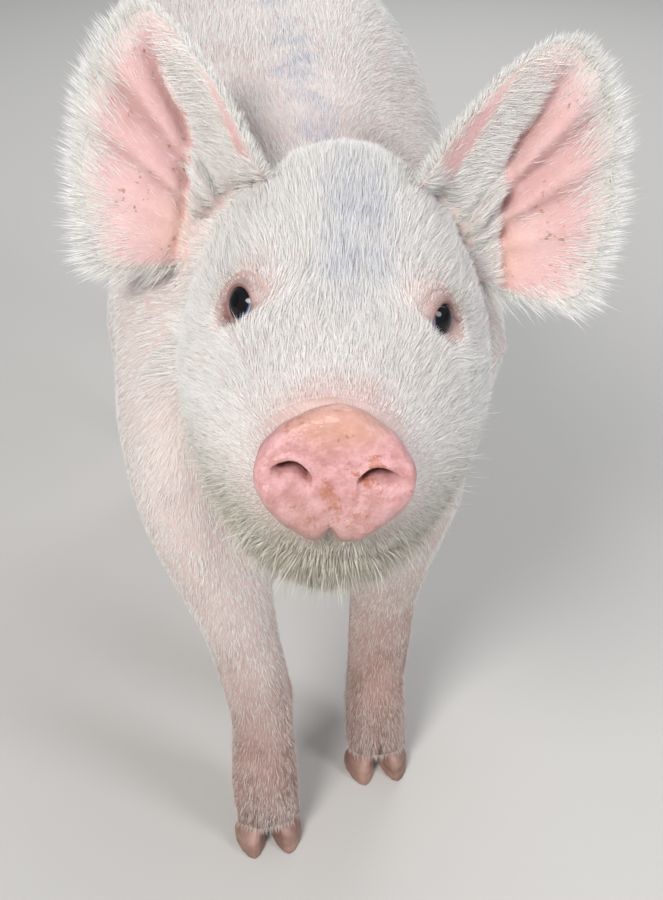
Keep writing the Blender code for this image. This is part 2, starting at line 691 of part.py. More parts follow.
head = head_frame()
mouth = head @ Matrix.Translation(JAW_CUT) @ Matrix.Rotation(-JAW_FALL, 4, "X")
neck = Matrix.Translation(NECK_CUT) @ Matrix.Rotation(-NECK_SLOPE, 4, "X")
flesh = {
    "snout": ((-SAW_REACH, -SAW_REACH, -SAW_REACH), (SAW_REACH, SNOUT_CUT, SAW_REACH), head),
    "lower_jaw": ((-SAW_REACH, -SAW_REACH, -SAW_REACH), (SAW_REACH, 0.0, 0.0), mouth),
    "head": ((-SAW_REACH, -SAW_REACH, HEAD_FLOOR), (SAW_REACH, HEAD_CUT, SAW_REACH), head),
    "neck": ((-SAW_REACH, -0.30, -0.15), (SAW_REACH, 0.0, SAW_REACH), neck),
}
for name, (low, high, frame) in flesh.items():
    nodes.append((part_off(body, name, low, high, frame), name, PINK if name == "snout" else HIDE, 0.7))
for limb in LIMBS:
    across = sorted((0.0, limb.side * SAW_REACH))
    top = FORE_CUT if limb.rings is FORE_RINGS else HIND_CUT
    along = (limb.foot[1] - LEG_CUT_REACH, limb.foot[1] + LEG_CUT_REACH)
    low, high = (across[0], along[0], -0.02), (across[1], along[1], top)
    leg = part_off(body, limb.name, low, high)
    foot = part_off(leg, "foot", low, (*high[:2], FETLOCK_CUT))
    nodes.append((leg, limb.name, HIDE, 0.7))
    nodes.append((foot, limb.name.replace("leg", "foot"), HIDE, 0.7))
nodes.append((body, "trunk", HIDE, 0.7))
settle([made for made, *looks in nodes])
for made, name, colour, roughness in nodes:
    finish(made, name, colour, roughness)
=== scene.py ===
"""A young white pig as a museum would show it: one skin, glass eyes, horn claws and a coat of real tufts.

Metres, +Z up.  The pig faces -Y, its left side is +X, and its claws stand on Z = 0.
Head axes: X to the pig's left, Y back from the nose disc, Z up through the forehead.
Ear axes: X across towards the forehead, Y along to the tip, Z out of the hollow.
"""

import heapq
import math

import bmesh
import bpy
import numpy as np
from mathutils import Matrix, Vector
from mathutils.bvhtree import BVHTree


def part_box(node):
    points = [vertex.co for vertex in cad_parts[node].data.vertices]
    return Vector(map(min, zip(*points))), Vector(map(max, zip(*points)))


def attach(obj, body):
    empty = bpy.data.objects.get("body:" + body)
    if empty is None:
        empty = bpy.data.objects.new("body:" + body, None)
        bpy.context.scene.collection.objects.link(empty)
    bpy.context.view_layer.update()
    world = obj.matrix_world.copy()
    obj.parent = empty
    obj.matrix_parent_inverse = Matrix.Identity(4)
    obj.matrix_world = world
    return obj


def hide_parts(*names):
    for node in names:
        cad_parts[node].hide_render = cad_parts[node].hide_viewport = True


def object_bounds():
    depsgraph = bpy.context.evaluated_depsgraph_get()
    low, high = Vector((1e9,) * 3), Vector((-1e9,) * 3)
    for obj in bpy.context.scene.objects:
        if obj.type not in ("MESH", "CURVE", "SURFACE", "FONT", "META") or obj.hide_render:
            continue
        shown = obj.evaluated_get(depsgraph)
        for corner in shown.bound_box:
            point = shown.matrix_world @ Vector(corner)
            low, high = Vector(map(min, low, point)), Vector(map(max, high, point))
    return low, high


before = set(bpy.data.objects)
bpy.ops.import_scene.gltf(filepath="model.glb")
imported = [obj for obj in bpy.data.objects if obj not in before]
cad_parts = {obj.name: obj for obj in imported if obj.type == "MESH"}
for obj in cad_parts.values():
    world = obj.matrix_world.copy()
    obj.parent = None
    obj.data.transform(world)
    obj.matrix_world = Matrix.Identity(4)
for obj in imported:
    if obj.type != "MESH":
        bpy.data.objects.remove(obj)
cad_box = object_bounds()

# ------------ driving sizes
MM = 0.001
HEAD_YAW = math.radians(9.7)
HEAD_PITCH = math.radians(16.4)
HEAD_ROLL = math.radians(4.3)
EYE_PLACE = Vector((0.0330, 0.1095, 0.0330))  # left eyeball in head axes
EYE_TURN = math.radians(50)
EYE_RADIUS = 0.0105
EAR_ROOT = Vector((0.0560, 0.1650, 0.0620))  # left ear in head axes
EAR_SPLAY = math.radians(25)
EAR_LEAN = math.radians(6)
EAR_FACING_OUT = 0.22
CLAW_TOP = (0.021, 0.011)  # where flesh meets horn, at the toe and at the heel
CLAW_REACH = (-0.0205, 0.0135)  # of the toe and of the heel from the middle of the foot
LID_SHIFT = {1: (0.11, 0.0), -1: (0.0, 0.09)}  # of the eye's opening on the ball, outwards and up, in radians

NOSTRIL = Vector((0.0134, 0.0, 0.0042))  # top of the left nostril's arch, in head axes
PLUG_PLACE = (0.0142, 0.0072, 0.0024)
PLUG = (0.0064, 0.0068, 0.0056, 1.0)  # fills each nostril of the cast, before the finer one is shaped
CAST_SWELL = 0.0007  # closes the saw cuts between the nodes of flesh
CAST_VOXEL = 0.0016
WELD = 0.00001  # joins the corners of a node's faces
CAST_PASSES = 70
EAR_HOLD = 0.75  # keeps the thin ears from shrinking in those passes
SKIN_FACES = 96000  # triangles before the eyes and the snout are refined
COARSE_LEAST = 0.55  # how freely the head may lose triangles, and how much more for each tenth away from it
COARSE_STEP = 0.045
EAR_SHARE_OUT = 0.88  # the ear's skin against its outline with the fringe
EAR_SHARE_IN = 0.95
EAR_SHARE_UP = 0.945
EAR_SHARE_DOWN = 0.74
EAR_LOOSE = (0.014, 0.034)  # from its root, where the ear begins to draw in and where it has done so

SIDES = (("left", 1), ("right", -1))
LEGS = ("foreleg", "hindleg")


# ------------ axes
def middle(node):
    low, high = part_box(node)
    return (low + high) / 2


def head_axes():
    turn = Matrix.Rotation(-HEAD_YAW, 4, "Z") @ Matrix.Rotation(-HEAD_PITCH, 4, "X")
    turn = turn @ Matrix.Rotation(HEAD_ROLL, 4, "Y")
    between_eyes = (middle("eye_left") + middle("eye_right")) / 2
    return Matrix.Translation(between_eyes - turn @ Vector((0, EYE_PLACE.y, EYE_PLACE.z))) @ turn


HEAD = head_axes()


def eye_axes(side):
    place = Vector((side * EYE_PLACE.x, EYE_PLACE.y, EYE_PLACE.z))
    return HEAD @ Matrix.Translation(place) @ Matrix.Rotation(side * EYE_TURN, 4, "Z")


def ear_axes(side):
    rise = math.cos(EAR_SPLAY)
    along = Vector((side * math.sin(EAR_SPLAY), rise * math.sin(EAR_LEAN), rise * math.cos(EAR_LEAN)))
    facing = Vector((side * EAR_FACING_OUT, -1.0, 0.0))
    facing = (facing - facing.dot(along) * along).normalized()
    across = Vector((-side, 0, 0))
    across = (across - across.dot(along) * along - across.dot(facing) * facing).normalized()
    turn = Matrix((across, along, facing)).transposed().to_4x4()
    root = Vector((side * EAR_ROOT.x, EAR_ROOT.y, EAR_ROOT.z))
    return HEAD @ Matrix.Translation(root) @ turn


def foot_middles():
    """The middle of each foot, between its claws and midway from toe to heel, at the floor."""
    found = []
    for leg in LEGS:
        for side_name, _ in SIDES:
            boxes = [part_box("claw_%s_%s_%s" % (leg, side_name, label)) for label in ("inner", "outer")]
            across = sum(low.x + high.x for low, high in boxes) / 4
            toe = min(low.y for low, _ in boxes)
            found.append(Vector((across, toe - CLAW_REACH[0], 0)))
    return found


FEET = foot_middles()


def over_horn(places, foot):
    """Height over the slanted plane where the flesh of a foot meets its horn."""
    return places[:, 2] - np.interp(places[:, 1] - foot.y, CLAW_REACH, CLAW_TOP)


def seen_from(axes, places):
    """Places in the axes' own coordinates."""
    inverse = np.array(axes.inverted())
    return places @ inverse[:3, :3].T + inverse[:3, 3]


def back_from(axes, places):
    matrix = np.array(axes)
    return places @ matrix[:3, :3].T + matrix[:3, 3]


def turned_from(axes, directions):
    return directions @ np.array(axes)[:3, :3].T


def from_eye(places, side):
    """Distance from the middle of an eyeball."""
    return lengths(places - np.array(eye_axes(side).translation))


def ramp(low, high, value):
    share = np.clip((value - low) / (high - low), 0, 1)
    return share * share * (3 - 2 * share)


def window(value, low, lower, upper, high):
    """1 between lower and upper, 0 outside low and high, smooth between."""
    return ramp(low, lower, value) * ramp(high, upper, value)


def hump(value, centre, width):
    return np.exp(-(((value - centre) / width) ** 2))


def humps(value, rows):
    """The sum of humps, each with its height, centre and width."""
    return sum(height * hump(value, centre, width) for height, centre, width in rows)


def lengths(vectors):
    return np.linalg.norm(vectors, axis=-1)


def unit(vectors):
    return vectors / np.maximum(lengths(vectors), 1e-12)[:, None]


# ------------ mesh helpers
def new_object(name, mesh):
    made = bpy.data.objects.new(name, mesh)
    bpy.context.scene.collection.objects.link(made)
    return made


def applied(made):
    """The object, with its modifiers made part of its mesh."""
    evaluated = made.evaluated_get(bpy.context.evaluated_depsgraph_get())
    mesh = bpy.data.meshes.new_from_object(evaluated)
    made.modifiers.clear()
    made.data = mesh
    return made


def welded(name):
    """A node's mesh with the corners of its faces joined."""
    piece = bmesh.new()
    piece.from_mesh(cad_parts[name].data)
    bmesh.ops.remove_doubles(piece, verts=piece.verts, dist=WELD)
    return piece


def mesh_from(piece, name):
    mesh = bpy.data.meshes.new(name)
    piece.to_mesh(mesh)
    piece.free()
    return mesh


def remeshed(made, voxel):
    """The object as one closed surface of small squares."""
    remesh = made.modifiers.new("remesh", "REMESH")
    remesh.mode = "VOXEL"
    remesh.voxel_size = voxel
    return applied(made)


def read(items, field, columns, kind=np.float32):
    """A field of a mesh's points, edges or triangles, in one row for each."""
    flat = np.empty(len(items) * columns, kind)
    items.foreach_get(field, flat)
    return flat.reshape(-1, columns)


def points_of(mesh):
    return read(mesh.vertices, "co", 3).astype(float)


def set_points(mesh, places):
    mesh.vertices.foreach_set("co", places.astype(np.float32).ravel())
    mesh.update()


def normals_of(mesh):
    return read(mesh.vertex_normals, "vector", 3).astype(float)


def edges_of(mesh):
    return read(mesh.edges, "vertices", 2, np.int32)


def triangles_of(mesh):
    mesh.calc_loop_triangles()
    return read(mesh.loop_triangles, "vertices", 3, np.int32)


def write(mesh, fields):
    """Numbers for each point of a mesh, which a finish reads by their names."""
    for name, values in fields.items():
        made = mesh.attributes.new(name, "FLOAT", "POINT")
        made.data.foreach_set("value", np.asarray(values, np.float32))


def neighbours_mean(values, edges, count):
    """Mean of each point's neighbours, for a field of one or more columns."""
    columns = values if values.ndim == 2 else values[:, None]
    start, end = edges[:, 0], edges[:, 1]
    number = np.bincount(start, minlength=count) + np.bincount(end, minlength=count)
    mean = np.empty_like(columns, dtype=float)
    for column in range(columns.shape[1]):
        total = np.bincount(start, columns[end, column], count)
        total += np.bincount(end, columns[start, column], count)
        mean[:, column] = total / np.maximum(number, 1)
    return mean if values.ndim == 2 else mean[:, 0]


def spread(values, edges, passes, share=0.6):
    """A field, evened out over the surface."""
    for _ in range(passes):
        values = values + share * (neighbours_mean(values, edges, len(values)) - values)
    return values


def relaxed(places, edges, passes, freedom, shrink=0.60, regrow=-0.625):
    """Points evened out without losing volume. Freedom, 0 to 1, says how far each point may follow."""
    freedom = freedom[:, None]
    for _ in range(passes):
        for step in (shrink, regrow):
            shift = neighbours_mean(places, edges, len(places)) - places
            places = places + step * shift * freedom
    return places


# ------------ skin: the cast
FLESH = ["head", "snout", "lower_jaw", "neck", "trunk", "tail"]
for side_name, _ in SIDES:
    FLESH.append("ear_" + side_name)
    for leg in LEGS:
        FLESH.append(leg + "_" + side_name)
        FLESH.append(leg.replace("leg", "foot") + "_" + side_name)


def drawn_in_ear(places, side):
    """The ear without its fringe: narrower and shorter, but the same where it leaves the head."""
    own = seen_from(ear_axes(side), places)
    share_across = np.where(own[:, 0] < 0, EAR_SHARE_OUT, EAR_SHARE_IN)
    share_along = np.where(own[:, 1] > 0, EAR_SHARE_UP, EAR_SHARE_DOWN)
    reach = np.hypot(own[:, 0], own[:, 1])
    loose = ramp(*EAR_LOOSE, reach)
    own[:, 0] *= 1 - loose * (1 - share_across)
    own[:, 1] *= 1 - loose * (1 - share_along)
    return back_from(ear_axes(side), own)


def cast_of_flesh():
    """All nodes of flesh, and the eyeballs that fill their sockets, grown together into one closed body."""
    cast = bmesh.new()
    for name in FLESH + ["eye_left", "eye_right"]:
        piece = welded(name)
        piece.normal_update()
        for vertex in piece.verts:
            vertex.co += vertex.normal * CAST_SWELL
        mesh = mesh_from(piece, "cast_piece")
        for side_name, side in SIDES:
            if name == "ear_" + side_name:
                set_points(mesh, drawn_in_ear(points_of(mesh), side))
        cast.from_mesh(mesh)
        bpy.data.meshes.remove(mesh)
    for _, side in SIDES:
        across, back, up = PLUG_PLACE
        place = HEAD @ Matrix.Translation((side * across, back, up)) @ Matrix.Diagonal(PLUG)
        bmesh.ops.create_icosphere(cast, subdivisions=3, radius=1, matrix=place)
    return remeshed(new_object("skin", mesh_from(cast, "skin")), CAST_VOXEL)


def labels_near(places):
    """The node of flesh that lies nearest to each point."""
    corners, faces, owner = [], [], []
    for index, name in enumerate(FLESH):
        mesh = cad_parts[name].data
        start = len(corners)
        corners.extend(vertex.co.copy() for vertex in mesh.vertices)
        for polygon in mesh.polygons:
            faces.append([start + corner for corner in polygon.vertices])
            owner.append(index)
    tree = BVHTree.FromPolygons(corners, faces)
    found = [tree.find_nearest(place)[2] for place in places]
    return np.array(owner)[found]


def shares_of(places, edges, passes):
    """For each node of flesh, how much each point belongs to it, with soft borders."""
    labels = labels_near(places)
    table = np.zeros((len(places), len(FLESH)))
    table[np.arange(len(places)), labels] = 1
    table = spread(table, edges, passes)
    return {name: table[:, index] for index, name in enumerate(FLESH)}


def within(shares, *starts):
    """How much each point belongs to the nodes whose names start so."""
    return np.clip(sum(share for name, share in shares.items() if name.startswith(starts)), 0, 1)


def refine(mesh, wanted):
    """Divides the edges between wanted points in two."""
    bm = bmesh.new()
    bm.from_mesh(mesh)
    edges = [edge for edge in bm.edges if wanted[edge.verts[0].index] and wanted[edge.verts[1].index]]
    bmesh.ops.subdivide_edges(bm, edges=edges, cuts=1, use_grid_fill=True)
    bmesh.ops.triangulate(bm, faces=bm.faces)
    bm.to_mesh(mesh)
    bm.free()


def body_cast():
    made = cast_of_flesh()
    places = points_of(made.data)
    edges = edges_of(made.data)
    own = shares_of(places, edges, 6)
    places = relaxed(places, edges, CAST_PASSES, 1 - EAR_HOLD * within(own, "ear_"))
    set_points(made.data, places)
    keep = within(own, "ear_", "head", "snout", "lower_jaw")
    group = made.vertex_groups.new(name="coarse")
    for level in range(11):
        chosen = np.flatnonzero(np.round(10 * (1 - keep)).astype(int) == level)
        group.add(chosen.tolist(), COARSE_LEAST + COARSE_STEP * level, "REPLACE")
    decimate = made.modifiers.new("coarse", "DECIMATE")
    decimate.ratio = SKIN_FACES / (2 * len(made.data.polygons))
    decimate.vertex_group = "coarse"
    decimate.use_collapse_triangulate = True
    applied(made)
    made.vertex_groups.clear()
    return made


# ------------ skin: folds, lids and nose
LID_HALF_WIDTH = 0.0088  # of the eye's opening, along the ball
LID_HALF_HEIGHT = 0.0079
LID_TILT = math.radians(14)  # the inner corner lies lower
LID_OFF_BALL = 0.0010
LID_CLEAR = 0.0025  # skin that lies farther off the ball belongs less and less to the lids
LID_FOLDS = (  # height, place and width, as shares of the opening, and the strength below the eye
    (0.00055, 1.26, 0.17, 0.60),
    (-0.0011, 1.66, 0.13, 0.35),
    (0.0010, 2.02, 0.20, 0.0),
    (-0.0006, 2.45, 0.16, 0.40),
)
NOSTRIL_DEPTH = 0.0085
DISC_HEIGHTS = MM * np.array([-23.5, -18.2, -10.4, -1.0, 8.5, 14.8, 18.5, 23.5])
DISC_WIDTHS = (0.84, 0.90, 0.935, 0.93, 0.98, 0.97, 0.90, 0.86)  # against the node's
MUZZLE_FOLDS = (  # height, place behind the disc and width
    (0.0024, 0.0135, 0.0017),
    (-0.0016, 0.0168, 0.0013),
    (0.0011, 0.0200, 0.0011),
    (0.0009, 0.0245, 0.0012),
    (0.0007, 0.0295, 0.0014),
    (0.0005, 0.0350, 0.0016),
)
MOUTH_END = Vector((0.0, 0.096, -0.0262))
EDGE_ALONG = MM * np.array([-15.5, 1.4, 10.6, 27.1, 42.2, 61.0])  # of the hollow of the ear, at its fold
EDGE_ACROSS = MM * np.array([-27.7, -14.2, -9.7, -0.5, 4.5, 2.0])
EAR_FAN = (0.004, -0.030)  # the ridges of the ear fan out from this place
EAR_RIDGES = ((1.0, -0.20, 0.055), (0.85, -0.43, 0.065), (0.5, -0.70, 0.09))  # height, angle and width
EAR_GROOVES = ((1.0, -0.08, 0.05), (0.9, -0.31, 0.05), (0.6, -0.55, 0.06))
BODY_DEPTH = 0.0048  # of the coat
DEPTHS = (
    (("snout",), 0.0002),
    (("foreleg", "hindleg"), 0.0018),
    (("forefoot", "hindfoot"), 0.0009),
    (("tail",), 0.0016),
    (("ear_",), 0.0011),
)
EYE_DEPTH = 0.0014
REFINED = ((0.0150, 0.034), (0.0135, 0.0135))  # each time: so near the eyes, or so close behind the disc


AWAY = 9.0  # the share of a place that is nowhere near the eyes
LID_REACH = 3.2  # the share up to which the folds round an eye go
BALL_INSIDE = 0.80  # the skin under the open eye, as a share of the ball


def lid_share(axes, side, places):
    """1 on the rim of the lids, less over the ball, more outside. Also the height over the ball's middle."""
    own = seen_from(axes, places)
    distance = lengths(own)
    around = np.arctan2(own[:, 0], -own[:, 1]) * side - LID_SHIFT[side][0]
    rise = np.arcsin(np.clip(own[:, 2] / np.maximum(distance, 1e-9), -1, 1)) - LID_SHIFT[side][1]
    lean_around = around * math.cos(LID_TILT) - rise * math.sin(LID_TILT)
    lean_rise = rise * math.cos(LID_TILT) + around * math.sin(LID_TILT)
    reach = EYE_RADIUS + LID_OFF_BALL
    share = np.hypot(lean_around * reach / LID_HALF_WIDTH, lean_rise * reach / LID_HALF_HEIGHT)
    share += np.maximum(distance - reach - LID_CLEAR, 0) / LID_CLEAR
    behind = own[:, 1] > 0.004
    return np.where(behind, AWAY, share), distance, lean_rise


def open_lids(places):
    """Sinks the skin inside the eyeball where the eye is open, and rolls the lids and creases round it."""
    for _, side in SIDES:
        axes = eye_axes(side)
        share, distance, rise = lid_share(axes, side, places)
        near = (share < LID_REACH) & (distance < 0.024)
        upper = ramp(-0.25, 0.35, rise)
        rim = EYE_RADIUS + LID_OFF_BALL
        inside = BALL_INSIDE * EYE_RADIUS
        wanted = inside + (rim - inside) * ramp(0.90, 0.985, share)
        outer = ramp(1.05, 1.85, share)
        wanted = wanted * (1 - outer) + distance * outer
        for height, centre, width, below in LID_FOLDS:
            wanted += height * hump(share, centre, width) * (below + (1 - below) * upper)
        scale = np.where(near, wanted / np.maximum(distance, 1e-9), 1.0)
        middle_of_ball = np.array(axes.translation)
        places = middle_of_ball + (places - middle_of_ball) * scale[:, None]
    return places


def disc_edge(up):
    """How far back the bare disc reaches: farther over its top than at its sides."""
    return 0.0062 + 0.0050 * ramp(0.004, 0.016, up)


def nostril_field(across, up):
    """Share of the nostril's depth at each place of the disc, and the lip above its arch."""
    aside = np.abs(across) - NOSTRIL.x
    fall = np.where(aside < 0, 0.0040, 0.0018)
    below = NOSTRIL.z - fall * (aside / 0.0060) ** 2 - up
    beside = window(aside, -0.0068, -0.0042, 0.0030, 0.0072)
    depth = ramp(-0.0004, 0.0006, below) * np.exp(-np.maximum(below - 0.0008, 0) / 0.0017)
    return depth * beside, hump(below, -0.0013, 0.0013) * beside


def shape_nose(own):
    """The nose disc and the folds behind it, in head axes: outline, lobes, notch, nostrils and wrinkles."""
    up = own[:, 2].copy()
    front = ramp(0.022, 0.006, own[:, 1])
    own[:, 0] *= 1 - front * (1 - np.interp(up, DISC_HEIGHTS, DISC_WIDTHS))
    own[:, 2] *= 1 - front * 0.05 * (up < 0)
    across, back, up = own.T.copy()
    aside = np.abs(across)
    radius = np.hypot(across / 0.0275, up / 0.0235)
    push = humps(radius, ((0.0004, 0.86, 0.12), (-0.0006, 0.0, 0.55)))
    push -= 0.0010 * hump(across, 0.0, 0.0015) * ramp(0.004, -0.012, up)
    depth, lip = nostril_field(across, up)
    push += 0.0011 * lip - NOSTRIL_DEPTH * depth
    push += 0.0016 * hump(aside, 0.0205, 0.0055) * hump(up, -0.0070, 0.0050)
    push += 0.0010 * hump(aside, 0.0095, 0.0055) * hump(up, -0.0155, 0.0055)
    own[:, 1] -= push * ramp(0.010, 0.004, back)
    notch = hump(across, 0.0, 0.0026) * ramp(-0.012, -0.022, up) * ramp(0.016, 0.009, back)
    own[:, 2] += 0.0034 * notch
    over = ramp(0.004, 0.014, up) * ramp(0.036, 0.024, aside)
    own[:, 2] -= humps(back - 0.45 * across**2 / 0.03, MUZZLE_FOLDS) * over
    return own


def mouth_height(back):
    """Height of the line of the mouth, in head axes, at a place along the muzzle."""
    share = np.clip(back / MOUTH_END.y, 0, 1)
    return MOUTH_END.z - 0.0085 * (1 - share) + 0.0026 * hump(share, 0.92, 0.14)


def ear_angle(own):
    """The angle of each place of the ear about the point that its ridges fan out from."""
    return np.arctan2(own[:, 0] - EAR_FAN[0], own[:, 1] - EAR_FAN[1])


def shape_ear(places, normals, side, belongs):
    """Lengthwise ridges in the hollow of the ear and the rolled strip along its edge towards the forehead."""
    axes = ear_axes(side)
    own = seen_from(axes, places)
    facing = normals @ np.array(axes)[:3, 2]
    front = ramp(0.05, 0.45, facing) * ramp(0.5, 0.9, belongs)
    across, along = own[:, 0], own[:, 1]
    angle = ear_angle(own)
    reach = np.hypot(across - EAR_FAN[0], along - EAR_FAN[1])
    lengthwise = window(reach, 0.018, 0.036, 0.090, 0.126)
    lift = (0.0040 * humps(angle, EAR_RIDGES) - 0.0030 * humps(angle, EAR_GROOVES)) * lengthwise
    fold = across - ear_fold(along)
    lift += 0.0042 * ramp(-0.0045, 0.0015, fold) * ramp(0.092, 0.055, along)
    lift -= 0.0026 * hump(fold, -0.0070, 0.0030) * ramp(0.080, 0.045, along)
    own[:, 2] += lift * front
    return back_from(axes, own)


def ear_fold(along):
    """Where the hairy fold that borders the hollow towards the forehead lies across the ear."""
    nearby = [np.interp(along + shift, EDGE_ALONG, EDGE_ACROSS) for shift in (-0.006, 0.0, 0.006)]
    return sum(nearby) / len(nearby)


def ear_band(across, along):
    """The hairy band on the fold: it ends at the bare strip along the edge, but covers the whole root."""
    strip = ramp(0.0160, 0.0190, across) * ramp(0.007, 0.016, along)
    band = ramp(-0.0020, 0.0010, across - ear_fold(along))
    return band * (1 - strip) * ramp(0.085, 0.050, along)


def coat_depth(places, own):
    """How far the skin lies under the tips of the coat."""
    head = seen_from(HEAD, places)
    muzzle = ramp(0.016, 0.120, head[:, 1])
    chin = ramp(-0.020, -0.045, head[:, 2])
    face = 0.0009 + 0.0021 * muzzle + 0.0018 * chin * (1 - 0.4 * muzzle)
    depth = BODY_DEPTH + within(own, "head", "lower_jaw") * (face - BODY_DEPTH)
    for starts, wanted in DEPTHS:
        depth += within(own, *starts) * (wanted - depth)
    for _, side in SIDES:
        depth += ramp(0.026, 0.014, from_eye(places, side)) * (EYE_DEPTH - depth)
    return depth


def finished_skin():
    """The cast, brought in by the depth of the coat, refined where it is finest, and given its folds."""
    made = body_cast()
    mesh = made.data
    places = points_of(mesh)
    edges = edges_of(mesh)
    own = shares_of(places, edges, 8)
    depth = spread(coat_depth(places, own), edges, 4)
    set_points(mesh, places - normals_of(mesh) * depth[:, None])
    for near_eye, near_disc in REFINED:
        places = points_of(mesh)
        wanted = seen_from(HEAD, places)[:, 1] < near_disc
        for _, side in SIDES:
            wanted |= from_eye(places, side) < near_eye
        refine(mesh, wanted)
    places = points_of(mesh)
    edges = edges_of(mesh)
    fine = ramp(0.044, 0.030, seen_from(HEAD, places)[:, 1])
    for _, side in SIDES:
        fine = np.maximum(fine, ramp(0.018, 0.014, from_eye(places, side)))
    places = relaxed(places, edges, 6, fine)
    own = shares_of(places, edges, 3)
    set_points(mesh, places)
    normals = normals_of(mesh)
    for side_name, side in SIDES:
        places = shape_ear(places, normals, side, own["ear_" + side_name])
    head = shape_nose(seen_from(HEAD, places))
    outward = normals @ np.array(HEAD)[:3, :3]
    gap = head[:, 2] - mouth_height(head[:, 1])
    along_mouth = window(head[:, 1], 0.010, 0.016, 0.091, 0.099)
    low = within(own, "head", "lower_jaw")
    head -= outward * (0.0021 * hump(gap, 0, 0.0013) * along_mouth * low)[:, None]
    places = open_lids(back_from(HEAD, head))
    set_points(mesh, places)
    mesh.shade_smooth()
    return made, own


# ------------ finishes
class Value:
    """A number that varies over a surface. Arithmetic on it adds Math nodes."""

    def __init__(self, finish, socket):
        self.finish = finish
        self.socket = socket

    def maths(self, operation, *values):
        inputs = dict(enumerate(values))
        return self.finish.add("ShaderNodeMath", {"operation": operation}, inputs)

    def __add__(self, other):
        return self.maths("ADD", self, other)

    def __sub__(self, other):
        return self.maths("SUBTRACT", self, other)

    def __mul__(self, other):
        return self.maths("MULTIPLY", self, other)

    def __rsub__(self, other):
        return self.maths("SUBTRACT", other, self)

    __radd__ = __add__

    def most(self, other):
        return self.maths("MAXIMUM", self, other)

    def step(self, low, high):
        """0 below low, 1 above high, smooth between; the other way round where low is more than high."""
        span = {"interpolation_type": "SMOOTHSTEP"}
        ends = {"From Min": min(low, high), "From Max": max(low, high)}
        goal = {"To Min": float(low > high), "To Max": float(low < high)}
        return self.finish.add("ShaderNodeMapRange", span, {"Value": self, **ends, **goal})


class Finish:
    """A material built from nodes, with a Principled shader for its surface."""

    def __init__(self, name, **constants):
        self.material = bpy.data.materials.new(name)
        self.material.use_nodes = True
        self.tree = self.material.node_tree
        self.shader = self.tree.nodes["Principled BSDF"]
        for socket, value in constants.items():
            self.shader.inputs[socket.replace("_", " ")].default_value = value
        self.place = self.add("ShaderNodeTexCoord", output="Object")

    def add(self, kind, settings=(), inputs=(), output=0):
        """A node of a kind, with its settings, and values or links in its sockets."""
        made = self.tree.nodes.new(kind)
        for name, value in dict(settings).items():
            setattr(made, name, value)
        for name, value in dict(inputs).items():
            if isinstance(value, Value):
                self.tree.links.new(value.socket, made.inputs[name])
            else:
                made.inputs[name].default_value = value
        return Value(self, made.outputs[output])

    def feed(self, socket, value):
        self.tree.links.new(value.socket, self.shader.inputs[socket])

    def noise(self, scale, detail=2.0, place=None, **more):
        inputs = {"Vector": place or self.place, "Scale": scale, "Detail": detail}
        inputs.update(more)
        return self.add("ShaderNodeTexNoise", inputs=inputs)

    def mix(self, share, first, second, blend="MIX"):
        """Between two colours, by a share that may vary."""
        settings = {"data_type": "RGBA", "blend_type": blend}
        first, second = ((*each, 1.0) if isinstance(each, tuple) else each for each in (first, second))
        return self.add("ShaderNodeMix", settings, {0: share, 6: first, 7: second}, 2)

    def layers(self, tone, *over):
        """A colour with others laid over it in turn, each by its share."""
        for share, other in over:
            tone = self.mix(share, tone, other)
        return tone

    def attribute(self, name):
        return self.add("ShaderNodeAttribute", {"attribute_name": name}, output="Fac")

    def own_place(self, centre, radii, axes=Matrix.Identity(4), place=None):
        """The place from a point, in radii that may differ along the axes."""
        spot = {"Location": axes @ Vector(centre), "Rotation": axes.to_euler(), "Scale": radii}
        inputs = {"Vector": place or self.place, **spot}
        return self.add("ShaderNodeMapping", {"vector_type": "TEXTURE"}, inputs)

    def distance(self, *where):
        own = self.own_place(*where)
        return self.add("ShaderNodeVectorMath", {"operation": "LENGTH"}, {0: own}, "Value")

    def height(self):
        """Height over the floor."""
        return self.add("ShaderNodeSeparateXYZ", inputs={"Vector": self.place}, output="Z")

    def bump(self, height, strength, distance):
        inputs = {"Height": height, "Strength": strength, "Distance": distance}
        self.feed("Normal", self.add("ShaderNodeBump", inputs=inputs))


MARKS_ON_BACK = (-0.110, -0.060, -0.010, 0.045, 0.100)


def wandering(finish, amount, scale):
    """The place, pushed about by noise, so that no border is a clean curve."""
    inputs = {"Vector": finish.place, "Scale": scale, "Detail": 3.0}
    noise = finish.add("ShaderNodeTexNoise", inputs=inputs, output="Color")
    centred = finish.add("ShaderNodeVectorMath", {"operation": "SUBTRACT"}, {0: noise, 1: (0.5, 0.5, 0.5)})
    scaled = finish.add("ShaderNodeVectorMath", {"operation": "SCALE"}, {0: centred, "Scale": amount})
    return finish.add("ShaderNodeVectorMath", {"operation": "ADD"}, {0: finish.place, 1: scaled})


